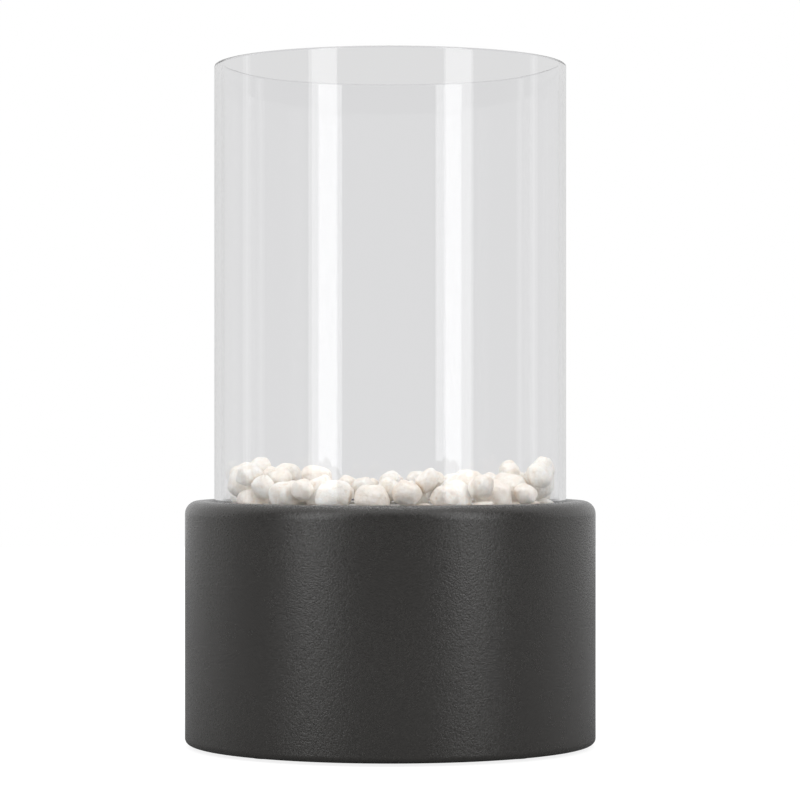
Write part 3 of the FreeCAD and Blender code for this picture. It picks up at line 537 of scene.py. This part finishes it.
@dataclass(frozen=True)
class GalvanisedSteel(Finish):
    """Hot-dipped sheet: a patchwork of zinc crystals, each with its own grey and gloss."""

    dark: Colour = (0.40, 0.42, 0.44)
    light: Colour = (0.62, 0.64, 0.66)
    crystal_scale: float = 130.0
    crystal_depth: float = 0.02 * MM

    def surface(self, graph: Graph, shader: bpy.types.Node) -> Socket:
        """A cell pattern, warped by noise, gives each crystal its tone; its rims stand proud."""
        warp = graph.add("TexNoise", Vector=graph.places, Scale=90.0, Detail=3.0)
        nudge = graph.add("VectorMath", {"operation": "SCALE"}, Vector=warp.outputs[1], Scale=0.006)
        where = graph.add("VectorMath", {"operation": "ADD"})
        graph.feed(where.inputs[0], graph.places)
        graph.feed(where.inputs[1], nudge.outputs[0])
        cells = graph.add("TexVoronoi", Vector=where.outputs[0], Scale=self.crystal_scale)
        tone = graph.add("SeparateColor", Color=cells.outputs["Color"]).outputs[0]
        bloom = graph.use(Effect.HANDLING, Scale=45.0, Contrast=1.0).outputs["Mask"]
        colour = graph.mix(tone, self.dark, self.light)
        colour = graph.mix(graph.maths("MULTIPLY", bloom, 0.35), colour, (0.62, 0.62, 0.60))
        gloss = graph.remap(tone, 0.0, 1.0, 0.5, 0.3)
        gloss = graph.maths("ADD", gloss, graph.maths("MULTIPLY", bloom, 0.15))
        shader.inputs["Metallic"].default_value = 0.9
        return graph.skin(shader, colour, gloss, graph.bump(cells.outputs["Distance"], self.crystal_depth))


@dataclass(frozen=True)
class PlatedSteel(Finish):
    """Small turned and headed parts: plated, with fine grain and rubbed crowns."""

    colour: Colour = (0.60, 0.61, 0.63)
    shade: Colour = (0.36, 0.37, 0.40)
    roughness: float = 0.28

    def surface(self, graph: Graph, shader: bpy.types.Node) -> Socket:
        """A mottled passivated skin with fine grain, brighter where it has been rubbed."""
        grain = graph.use(Effect.GRAIN, Scale=2600.0, Depth=6e-6)
        wear = graph.use(Effect.WEAR, Amount=0.8, Patch_Scale=500.0)
        patches = graph.remap(graph.noise(260.0, 4.0, 0.6), 0.35, 0.68)
        colour = graph.mix(patches, self.shade, self.colour)
        colour = graph.mix(wear.outputs["Mask"], colour, (0.72, 0.72, 0.72))
        gloss = graph.remap(grain.outputs["Value"], 0.0, 1.0, self.roughness, self.roughness + 0.14)
        shader.inputs["Metallic"].default_value = 1.0
        return graph.skin(shader, colour, gloss, grain.outputs["Normal"])


@dataclass(frozen=True)
class Rubber(Finish):
    """Moulded rubber or silicone: matt, finely grained and a little dusty."""

    colour: Colour = (0.022, 0.022, 0.023)
    dust: Colour = (0.16, 0.15, 0.14)
    dustiness: float = 0.3
    roughness: float = 0.75

    def surface(self, graph: Graph, shader: bpy.types.Node) -> Socket:
        """Grain from the mould, with pale dust in cloudy patches."""
        grain = graph.use(Effect.GRAIN, Scale=2200.0, Depth=1.5e-5)
        marks = graph.use(Effect.HANDLING, Scale=80.0, Contrast=self.dustiness)
        colour = graph.mix(marks.outputs["Mask"], self.colour, self.dust)
        gloss = graph.remap(grain.outputs["Value"], 0.0, 1.0, self.roughness - 0.08, self.roughness + 0.08)
        shader.inputs["Specular IOR Level"].default_value = 0.35
        return graph.skin(shader, colour, gloss, grain.outputs["Normal"])


@dataclass(frozen=True)
class CeramicFibre(Finish):
    """Needled white fibre, matted and a little scorched at its top."""

    colour: Colour = (0.82, 0.81, 0.77)
    shadow: Colour = (0.50, 0.48, 0.44)
    scorch: Colour = (0.20, 0.17, 0.14)
    pile_depth: float = 0.3 * MM

    def surface(self, graph: Graph, shader: bpy.types.Node) -> Socket:
        """Crossing stretched noise for the fibres, and dark patches where the flame sits."""
        one_way = graph.noise(900.0, 4.0, 0.7, graph.stretched(1.0, 0.12, 0.5))
        other_way = graph.noise(900.0, 4.0, 0.7, graph.stretched(0.12, 1.0, 0.5))
        fibres = graph.remap(graph.maths("MAXIMUM", one_way, other_way), 0.4, 0.75)
        burnt = graph.remap(graph.noise(60.0, 4.0, 0.6), 0.5, 0.72)
        colour = graph.mix(fibres, self.shadow, self.colour)
        colour = graph.mix(graph.maths("MULTIPLY", burnt, 0.35), colour, self.scorch)
        gloss = graph.remap(fibres, 0.0, 1.0, 0.98, 0.86)
        shader.inputs["Sheen Weight"].default_value = 0.3
        return graph.skin(shader, colour, gloss, graph.bump(fibres, self.pile_depth))


@dataclass(frozen=True)
class PaleFloor(Finish):
    """The studio floor: plain matt grey that glows, where it is seen, to nearly white."""

    colour: Colour = (0.22, 0.22, 0.22)
    glow: float = 0.85
    through: float = 0.4

    def surface(self, graph: Graph, shader: bpy.types.Node) -> Socket:
        """A faint mottle in the roughness, and a glow for what sees it straight or through glass."""
        mottle = graph.noise(6.0, 2.0)
        graph.feed(shader.inputs["Base Color"], self.colour)
        graph.feed(shader.inputs["Roughness"], graph.remap(mottle, 0.0, 1.0, 0.85, 0.95))
        shader.inputs["Specular IOR Level"].default_value = 0.0
        shader.inputs["Emission Color"].default_value = (1.0, 1.0, 1.0, 1.0)
        path = graph.add("LightPath").outputs
        beyond = graph.maths("MULTIPLY", path["Is Transmission Ray"], self.through)
        straight = graph.maths("MULTIPLY", path["Is Camera Ray"], self.glow)
        graph.feed(shader.inputs["Emission Strength"], graph.maths("MAXIMUM", straight, beyond))
        return shader.outputs[0]


# ======================================================================================
# Surfaces
# ======================================================================================
@dataclass
class Surface:
    """A closed surface as arrays: points, four-sided faces and three-sided faces."""

    points: np.ndarray
    quads: np.ndarray
    triangles: np.ndarray = field(default_factory=lambda: np.zeros((0, 3), np.int32))
    tone: np.ndarray | None = None

    @staticmethod
    def joined(parts: list["Surface"]) -> "Surface":
        """Puts several surfaces into one, each keeping its own faces."""
        starts = np.cumsum([0] + [len(part.points) for part in parts[:-1]])
        tones = [part.tone for part in parts if part.tone is not None]
        return Surface(
            np.concatenate([part.points for part in parts]),
            np.concatenate([part.quads + start for part, start in zip(parts, starts)]),
            np.concatenate([part.triangles + start for part, start in zip(parts, starts)]),
            np.concatenate(tones) if tones else None,
        )

    def to_object(self, name: str) -> bpy.types.Object:
        """Makes a smooth-shaded mesh object from the arrays.

        Args:
            name: the object's name.

        Returns:
            The new object, at the origin.
        """
        corners = np.concatenate([self.quads.ravel(), self.triangles.ravel()]).astype(np.int32)
        counts = np.repeat([4, 3], [len(self.quads), len(self.triangles)])
        starts = np.concatenate([[0], np.cumsum(counts)[:-1]]).astype(np.int32)
        mesh = bpy.data.meshes.new(name)
        mesh.vertices.add(len(self.points))
        mesh.vertices.foreach_set("co", self.points.astype(np.float32).ravel())
        mesh.loops.add(len(corners))
        mesh.loops.foreach_set("vertex_index", corners)
        mesh.polygons.add(len(starts))
        mesh.polygons.foreach_set("loop_start", starts)
        mesh.polygons.foreach_set("use_smooth", np.ones(len(starts), bool))
        mesh.update(calc_edges=True)
        mesh.validate()
        if self.tone is not None:
            mesh.attributes.new("tone", "FLOAT", "POINT").data.foreach_set(
                "value", self.tone.astype(np.float32)
            )
        piece = bpy.data.objects.new(name, mesh)
        bpy.context.scene.collection.objects.link(piece)
        return piece


def grid_quads(rows: int, columns: int, wrap_rows: bool) -> np.ndarray:
    """The faces of a grid of points whose columns close into a ring.

    Args:
        rows: rows of points.
        columns: points in each row.
        wrap_rows: whether the last row joins the first.

    Returns:
        Four point numbers for each face.
    """
    row = np.arange(rows if wrap_rows else rows - 1)[:, None]
    column = np.arange(columns)[None, :]
    below, above = row * columns, (row + 1) % rows * columns
    ahead = (column + 1) % columns
    faces = np.stack([below + column, below + ahead, above + ahead, above + column], axis=-1)
    return faces.reshape(-1, 4)


def rounded_outline(
    corners: list[tuple[float, float, float]], arc_steps: int = 8, run: float = 6 * MM
) -> np.ndarray:
    """A closed outline with its corners rounded and its straight runs divided.

    Each corner's arc touches both of its sides. It is sampled at even angles, with one more point
    just outside each end, so that the sides next to it stay flat when they are smoothed.

    Args:
        corners: (across, up, radius) of each corner, anticlockwise; radius 0 leaves it sharp.
        arc_steps: spans in each arc.
        run: longest straight span.

    Returns:
        Points (across, up) round the outline.
    """
    pieces: list[np.ndarray] = []
    count = len(corners)
    spots = np.array([corner[:2] for corner in corners])
    for i, (_, _, radius) in enumerate(corners):
        here, before, after = spots[i], spots[i - 1], spots[(i + 1) % count]
        back = (before - here) / np.linalg.norm(before - here)
        ahead = (after - here) / np.linalg.norm(after - here)
        if radius <= 0.0:
            guard = 0.12 * MM
            pieces.append(np.stack([here + back * guard, here, here + ahead * guard]))
            continue
        half = math.acos(float(np.clip(back @ ahead, -1.0, 1.0))) / 2
        reach = radius / math.tan(half)
        centre = here + (back + ahead) / np.linalg.norm(back + ahead) * radius / math.sin(half)
        start, end = here + back * reach - centre, here + ahead * reach - centre
        first = math.atan2(start[1], start[0])
        sweep = (math.atan2(end[1], end[0]) - first + math.pi) % (2 * math.pi) - math.pi
        angles = first + sweep * np.linspace(0.0, 1.0, arc_steps + 1)
        arc = centre + radius * np.stack([np.cos(angles), np.sin(angles)], axis=1)
        guard = min(0.12 * radius, 0.4 * MM)
        pieces.append(np.concatenate([[arc[0] + back * guard], arc, [arc[-1] + ahead * guard]]))
    outline: list[np.ndarray] = []
    for i, piece in enumerate(pieces):
        outline.append(piece)
        start, end = piece[-1], pieces[(i + 1) % count][0]
        spans = int(np.linalg.norm(end - start) // run)
        if spans > 1:
            share = np.linspace(0.0, 1.0, spans + 1)[1:-1, None]
            outline.append(start + (end - start) * share)
    return np.concatenate(outline)


def turned_surface(outline: np.ndarray, segments: int, swell: np.ndarray | None = None) -> Surface:
    """A closed ring: an outline carried round the Z axis.

    The point at outline place (r, z) and angle a is ((r + s) cos a, (r + s) sin a, z), where s is
    the swell at that place and angle.

    Args:
        outline: points (radius, height), anticlockwise.
        segments: steps round the axis.
        swell: radius added at each outline point and step, or nothing.

    Returns:
        The surface, facing outwards.
    """
    angles = np.linspace(0.0, 2 * np.pi, segments, endpoint=False)
    radii = outline[:, :1] + (0.0 if swell is None else swell)
    radii = np.broadcast_to(radii, (len(outline), segments))
    heights = np.broadcast_to(outline[:, 1:], radii.shape)
    points = np.stack([radii * np.cos(angles), radii * np.sin(angles), heights], axis=-1)
    return Surface(points.reshape(-1, 3), grid_quads(len(outline), segments, True))


# ======================================================================================
# The object
# ======================================================================================
@dataclass
class Assembly:
    """What every sub-assembly has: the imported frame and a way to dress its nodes."""

    nodes: dict[str, bpy.types.Object]

    def dress(self, finish: Finish, *names: str) -> None:
        """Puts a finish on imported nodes.

        Args:
            finish: the finish.
            *names: the nodes.
        """
        for name in names:
            finish.coat(self.nodes[name])
            LOG.info("dressed %s with %s", name, finish.name)

    def stand_for(self, piece: bpy.types.Object, node: str, body: str, slot: str) -> None:
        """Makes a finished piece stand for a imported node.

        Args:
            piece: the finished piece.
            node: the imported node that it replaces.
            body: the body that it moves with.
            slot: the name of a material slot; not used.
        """
        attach(piece, body)
        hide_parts(node)
        LOG.info("built %s with %d faces", piece.name, len(piece.data.polygons))


@dataclass
class Base(Assembly):
    """The spun shell, with the deck, well, fixings and feet that it hides."""

    sheet: float = 1.2 * MM
    shoulder: float = 5.5 * MM
    lip_radius: float = 3.0 * MM
    bend: float = 0.8 * MM
    hem_radius: float = 2.5 * MM
    hem_width: float = 5.0 * MM
    rim_width: float = 11.5 * MM
    ledge_width: float = 15.0 * MM
    segments: int = 320

    def shell_outline(self) -> np.ndarray:
        """The section of the shell: hem, wall, shoulder, rim, lip and the ledge under the deck."""
        low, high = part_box("outer_shell")
        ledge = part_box("deck_plate")[0].z
        thin, outside, top = self.sheet, high.x, high.z
        lip = outside - self.rim_width
        ledge_in = lip - self.ledge_width
        hem_in = outside - self.hem_width
        corners = [
            (hem_in, low.z, 0.0),
            (outside, low.z, self.hem_radius),
            (outside, top, self.shoulder),
            (lip, top, self.lip_radius),
            (lip, ledge, self.bend),
            (ledge_in, ledge, 0.0),
            (ledge_in, ledge - thin, 0.0),
            (lip + thin, ledge - thin, self.bend + thin),
            (lip + thin, top - thin, self.lip_radius - thin),
            (outside - thin, top - thin, self.shoulder - thin),
            (outside - thin, low.z + thin, self.hem_radius - thin),
            (hem_in, low.z + thin, 0.0),
        ]
        return rounded_outline(corners)

    def build(self) -> None:
        """Builds the shell and dresses everything under it."""
        shell = turned_surface(self.shell_outline(), self.segments).to_object("spun_shell")
        PowderCoat("charcoal_powder_coat").coat(shell)
        self.stand_for(shell, "outer_shell", "base", "powder_coat")
        sheet = GalvanisedSteel("galvanised_sheet")
        self.dress(sheet, "deck_plate", "burner_well", "bottom_plate", "plate_brackets")
        self.dress(PlatedSteel("zinc_plate"), "deck_screws", "clinch_nuts", "bottom_screws")
        self.dress(PlatedSteel("rivet_steel", (0.62, 0.61, 0.60), (0.44, 0.43, 0.42)), "well_rivets")
        self.dress(Rubber("foot_rubber"), "rubber_feet")
        silicone = Rubber("gasket_silicone", (0.62, 0.62, 0.60), (0.72, 0.71, 0.68), 0.4, 0.5)
        self.dress(silicone, "glass_gasket")


@dataclass
class Chimney(Assembly):
    """The drawn glass tube with its fire-polished rim."""

    wall: float = 3.0 * MM
    polish: float = 0.8 * MM
    arris: float = 0.6 * MM
    bead: float = 0.05 * MM
    bead_drop: float = 2.2 * MM
    bead_reach: float = 1.6 * MM
    draw_depth: float = 0.022 * MM
    segments: int = 384

    def draw_lines(self, phase: float) -> np.ndarray:
        """Faint waves along the whole tube from drawing it: a sum of cosines of the angle."""
        angles = np.linspace(0.0, 2 * np.pi, self.segments, endpoint=False)
        counts = np.array([2, 3, 5, 7, 11, 16, 23])
        sizes = np.array([1.6, 1.1, 0.8, 0.6, 0.45, 0.3, 0.2])
        waves = np.cos(counts[:, None] * angles + phase * counts[:, None] ** 1.3)
        return (sizes[:, None] * waves).sum(axis=0) * self.draw_depth

    def build(self) -> None:
        """Builds the tube: its wall waves a little round the axis and swells at the polished rim."""
        low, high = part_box("glass_cylinder")
        outside = high.x
        inside = outside - self.wall
        corners = [
            (inside, low.z, self.arris),
            (outside, low.z, self.arris),
            (outside, high.z, self.polish),
            (inside, high.z, self.polish),
        ]
        outline = rounded_outline(corners, run=10 * MM)
        side = np.clip((outline[:, 0] - inside) / self.wall, 0.0, 1.0)[:, None]
        from_bead = high.z - self.bead_drop - outline[:, 1:]
        bead = self.bead * np.exp(-((from_bead / self.bead_reach) ** 2))
        swell = side * self.draw_lines(0.7) + (1.0 - side) * self.draw_lines(2.9) + (2 * side - 1) * bead
        tube = turned_surface(outline, self.segments, swell).to_object("glass_chimney")
        ClearGlass("borosilicate").coat(tube)
        self.stand_for(tube, "glass_cylinder", "glass", "heat_glass")


@dataclass
class Burner(Assembly):
    """The lift-out burner: can, lid, wick and screen, with the turning damper on top."""

    def build(self) -> None:
        """Dresses the burner's steel, its fibre wick and its small parts."""
        self.dress(BrushedSteel("drawn_stainless", roughness=0.34, heat=0.0), "burner_can")
        self.dress(BrushedSteel("lid_stainless", heat=0.75), "burner_lid")
        blade = BrushedSteel("damper_stainless", (0.60, 0.585, 0.56), 0.26, 2600.0, 4e-6, 0.022, 0.7)
        self.dress(blade, "damper_blade")
        screen = BrushedSteel("screen_stainless", (0.50, 0.49, 0.47), 0.38, heat_reach=0.03, heat=0.9)
        self.dress(screen, "wick_screen")
        pivot = PlatedSteel("pivot_steel", (0.60, 0.59, 0.57), (0.42, 0.38, 0.34))
        self.dress(pivot, "pivot_rivet", "stop_studs")
        self.dress(PlatedSteel("blued_spring", (0.22, 0.24, 0.32), (0.16, 0.15, 0.16), 0.3), "cone_washer")
        self.dress(CeramicFibre("needled_fibre"), "fibre_wick")


@dataclass
class PebbleBed(Assembly):
    """The loose marble pebbles, worn smooth."""

    rows: int = 34
    columns: int = 52
    seed: int = 11
    wear: tuple[float, float] = (7.0, 16.0)
    dent: float = 0.035

    def flats(self, node: str) -> list[tuple[np.ndarray, np.ndarray, np.ndarray]]:
        """Finds each stone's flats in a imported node.

        Corners that share a place belong together, and stones that share none are apart.

        Args:
            node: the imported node, a group of convex solids.

        Returns:
            For each stone its centre, the normal of each flat, and each flat's distance from the
            centre.
        """
        mesh = self.nodes[node].data
        places = np.zeros(len(mesh.vertices) * 3)
        mesh.vertices.foreach_get("co", places)
        places = places.reshape(-1, 3)
        corners = np.zeros(len(mesh.polygons) * 3, np.int32)
        mesh.polygons.foreach_get("vertices", corners)
        _, merged = np.unique(np.round(places, 6), axis=0, return_inverse=True)
        triangles = merged.reshape(-1)[corners].reshape(-1, 3)
        spots = np.zeros((merged.max() + 1, 3))
        spots[merged.reshape(-1)] = places
        label = np.arange(len(spots))
        while True:
            lowest = label[triangles].min(axis=1)
            fresh = label.copy()
            for column in range(3):
                np.minimum.at(fresh, triangles[:, column], lowest)
            fresh = fresh[fresh]
            if (fresh == label).all():
                break
            label = fresh
        stones = []
        for stone in np.unique(label):
            own = triangles[label[triangles[:, 0]] == stone]
            corner = spots[own]
            cross = np.cross(corner[:, 1] - corner[:, 0], corner[:, 2] - corner[:, 0])
            area = np.linalg.norm(cross, axis=1)
            own_spots = spots[np.unique(own)]
            centre = (own_spots.min(axis=0) + own_spots.max(axis=0)) / 2
            keep = area > 1e-9
            normals = cross[keep] / area[keep, None]
            distances = ((corner[keep, 0] - centre) * normals).sum(axis=1)
            planes = np.round(np.column_stack([normals, distances * 100]), 2)
            _, first = np.unique(planes, axis=0, return_index=True)
            stones.append((centre, normals[first], distances[first]))
        return stones

    def stone(
        self, centre: np.ndarray, normals: np.ndarray, distances: np.ndarray, dice: np.random.Generator
    ) -> Surface:
        """One worn stone inside a set of flats.

        Along a direction d it reaches r(d) = (sum over flats of max(n.d / h, 0)^p)^(-1/p), where n
        is a flat's normal and h its distance. A large p keeps the flats crisp, a small one wears
        the stone round. Slow and fast waves over the direction then make shallow dents.

        Args:
            centre: the stone's middle.
            normals: the flats' normals.
            distances: the flats' distances from the middle.
            dice: the source of chance.

        Returns:
            The stone's surface.
        """
        tilt = np.linspace(0.0, np.pi, self.rows + 2)[1:-1, None]
        turn = np.linspace(0.0, 2 * np.pi, self.columns, endpoint=False)[None, :]
        ways = np.stack(
            [
                np.sin(tilt) * np.cos(turn),
                np.sin(tilt) * np.sin(turn),
                -np.cos(tilt) * np.ones_like(turn),
            ],
            axis=-1,
        ).reshape(-1, 3)
        ways = np.concatenate([ways, [[0.0, 0.0, -1.0], [0.0, 0.0, 1.0]]])
        power = dice.uniform(*self.wear)
        pulls = np.maximum(ways @ normals.T / distances, 0.0) ** power
        reach = pulls.sum(axis=1) ** (-1.0 / power)
        slow, fast = 6, 8
        waves = dice.normal(size=(slow + fast, 3)) * np.repeat([2.2, 6.5], [slow, fast])[:, None]
        phases = dice.uniform(0, 6.28, slow + fast)
        dents = np.cos(ways @ waves.T + phases) @ np.repeat([0.16, 0.05], [slow, fast])
        reach = reach * (1.0 - self.dent * (1.0 - dents))
        points = centre + ways * reach[:, None]
        body = grid_quads(self.rows, self.columns, False)
        ring = np.arange(self.columns)
        ahead = (ring + 1) % self.columns
        last = (self.rows - 1) * self.columns
        low, high = len(points) - 2, len(points) - 1
        caps = np.concatenate(
            [
                np.stack([np.full_like(ring, low), ahead, ring], axis=1),
                np.stack([np.full_like(ring, high), last + ring, last + ahead], axis=1),
            ]
        )
        return Surface(points, body, caps, np.full(len(points), dice.uniform()))

    def build(self) -> None:
        """Builds the three courses of stones."""
        dice = np.random.default_rng(self.seed)
        for course in ("bottom", "middle", "top"):
            node = f"pebbles_{course}"
            stones = [self.stone(*flats, dice) for flats in self.flats(node)]
            pile = Surface.joined(stones).to_object(f"marble_{course}_course")
            TumbledMarble("tumbled_marble").coat(pile)
            self.stand_for(pile, node, "base", f"marble_{course}")


# ======================================================================================
# The studio
# ======================================================================================
def hang_light(
    name: str,
    size: tuple[float, float],
    glow: float,
    place: tuple[float, float, float],
    turn: tuple[float, float, float],
) -> None:
    """Hangs a flat soft light that the camera doesn't see.

    Args:
        name: the light's name.
        size: its width and height.
        glow: how bright its face is.
        place: where its middle is.
        turn: its angles, in radians.
    """
    data = bpy.data.lights.new(name, "AREA")
    data.shape = "RECTANGLE"
    data.size, data.size_y = size
    data.energy = glow * math.pi * size[0] * size[1]
    light = bpy.data.objects.new(name, data)
    light.location = place
    light.rotation_euler = turn
    light.visible_camera = False
    bpy.context.scene.collection.objects.link(light)


@dataclass(frozen=True)
class SoftBox:
    """A tall soft box that faces the object's axis.

    Args:
        name: the light's name.
        angle: degrees round the axis from the front, positive to the right.
        width: how wide it is.
        glow: how bright its face is.
        distance: how far it stands from the axis.
        height: how tall it is.
        foot: how far its lower edge is from the floor.
    """

    name: str
    angle: float
    width: float
    glow: float
    distance: float = 1.35
    height: float = 1.7
    foot: float = 0.07

    def stand(self) -> None:
        """Stands the soft box on its spot."""
        turn = math.radians(self.angle)
        place = (
            self.distance * math.sin(turn),
            -self.distance * math.cos(turn),
            self.height / 2 + self.foot,
        )
        hang_light(self.name, (self.width, self.height), self.glow, place, (math.pi / 2, 0.0, turn))


@dataclass
class Studio:
    """A pale floor, soft boxes all round, a bright room behind, and the camera.

    The fill is what matt surfaces get from the room, and through is what shows behind glass.
    """

    camera_distance: float = 1.3625
    camera_height: float = 0.1377
    lens: float = 143.6
    shift: tuple[float, float] = (0.0121, 0.0284)
    floor_radius: float = 2.2
    boxes: tuple[SoftBox, ...] = (
        SoftBox("soft_box_left", -43.0, 0.45, 2.0),
        SoftBox("soft_box_right", 44.0, 0.45, 2.0),
        SoftBox("edge_strip_left", -106.0, 0.13, 0.55),
        SoftBox("edge_strip_right", 106.0, 0.13, 0.55),
    )
    bank_size: float = 0.9
    bank_place: tuple[float, float, float] = (0.0, 0.6, 1.5)
    bank_glow: float = 1.0
    dim: Colour = (0.14, 0.14, 0.145)
    fill: float = 1.14
    through: float = 0.757

    def camera(self) -> None:
        """Sets a level camera in front, on the -Y side."""
        data = bpy.data.cameras.new("front_camera")
        data.lens = self.lens
        data.sensor_width = 36.0
        data.shift_x, data.shift_y = self.shift
        data.clip_start = 0.05
        eye = bpy.data.objects.new("front_camera", data)
        eye.location = (0.0, -self.camera_distance, self.camera_height)
        eye.rotation_euler = (math.pi / 2, 0.0, 0.0)
        bpy.context.scene.collection.objects.link(eye)
        bpy.context.scene.camera = eye

    def top_bank(self) -> None:
        """Hangs a square soft bank over the chimney, a little to the back."""
        square = (self.bank_size, self.bank_size)
        hang_light("top_bank", square, self.bank_glow, self.bank_place, (0.0, 0.0, 0.0))

    def floor(self) -> None:
        """Lays a round matt floor: rings of points whose radii grow evenly in ratio."""
        rings, columns = 12, 64
        radii = np.geomspace(0.02, self.floor_radius, rings)[:, None]
        turn = np.linspace(0.0, 2 * np.pi, columns, endpoint=False)[None, :]
        points = np.stack([radii * np.cos(turn), radii * np.sin(turn), 0.0 * radii * turn], axis=-1)
        points = np.concatenate([points.reshape(-1, 3), [[0.0, 0.0, 0.0]]])
        ring = np.arange(columns)
        hub = np.stack([np.full_like(ring, len(points) - 1), ring, (ring + 1) % columns], axis=1)
        quads = grid_quads(rings, columns, False)[:, ::-1]
        disc = Surface(points, quads, hub).to_object("studio_floor")
        PaleFloor("pale_floor").coat(disc)

    def room(self) -> None:
        """A pale wall behind and a dim room in front, an even fill, and pale grey through glass."""
        world = bpy.data.worlds.new("studio_room")
        bpy.context.scene.world = world
        world.use_nodes = True
        world.node_tree.nodes.clear()
        graph = Graph(world.node_tree)
        way = graph.add("SeparateXYZ", Vector=graph.add("TexCoord").outputs["Generated"]).outputs
        behind = graph.remap(way[1], -0.4, 0.95, 0.0, 0.7)
        above = graph.remap(way[2], 0.6, 1.0, 0.0, 0.75)
        bright = graph.maths("MAXIMUM", behind, above)
        colour = graph.mix(bright, self.dim, (1.0, 1.0, 1.0))
        path = graph.add("LightPath").outputs
        for ray, level in (("Transmission", self.through), ("Diffuse", self.fill), ("Camera", 1.0)):
            colour = graph.mix(path[f"Is {ray} Ray"], colour, (level, level, level))
        light = graph.add("Background", Color=colour, Strength=1.0)
        graph.feed(graph.add("OutputWorld").inputs["Surface"], light.outputs[0])
        world.cycles.sampling_method = "NONE"

    def build(self) -> None:
        """Sets up the whole studio."""
        self.camera()
        self.room()
        self.floor()
        self.top_bank()
        for box in self.boxes:
            box.stand()
        bpy.context.scene.view_settings.view_transform = "Standard"
        LOG.info("set up the studio")


def main() -> None:
    """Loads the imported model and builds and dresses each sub-assembly in turn."""
    logging.basicConfig(level=logging.INFO, format="%(name)s: %(message)s")
    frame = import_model()
    nodes = frame["nodes"]
    Studio().build()
    for assembly in (Base(nodes), Chimney(nodes), Burner(nodes), PebbleBed(nodes)):
        assembly.build()


if __name__ == "__main__":
    main()
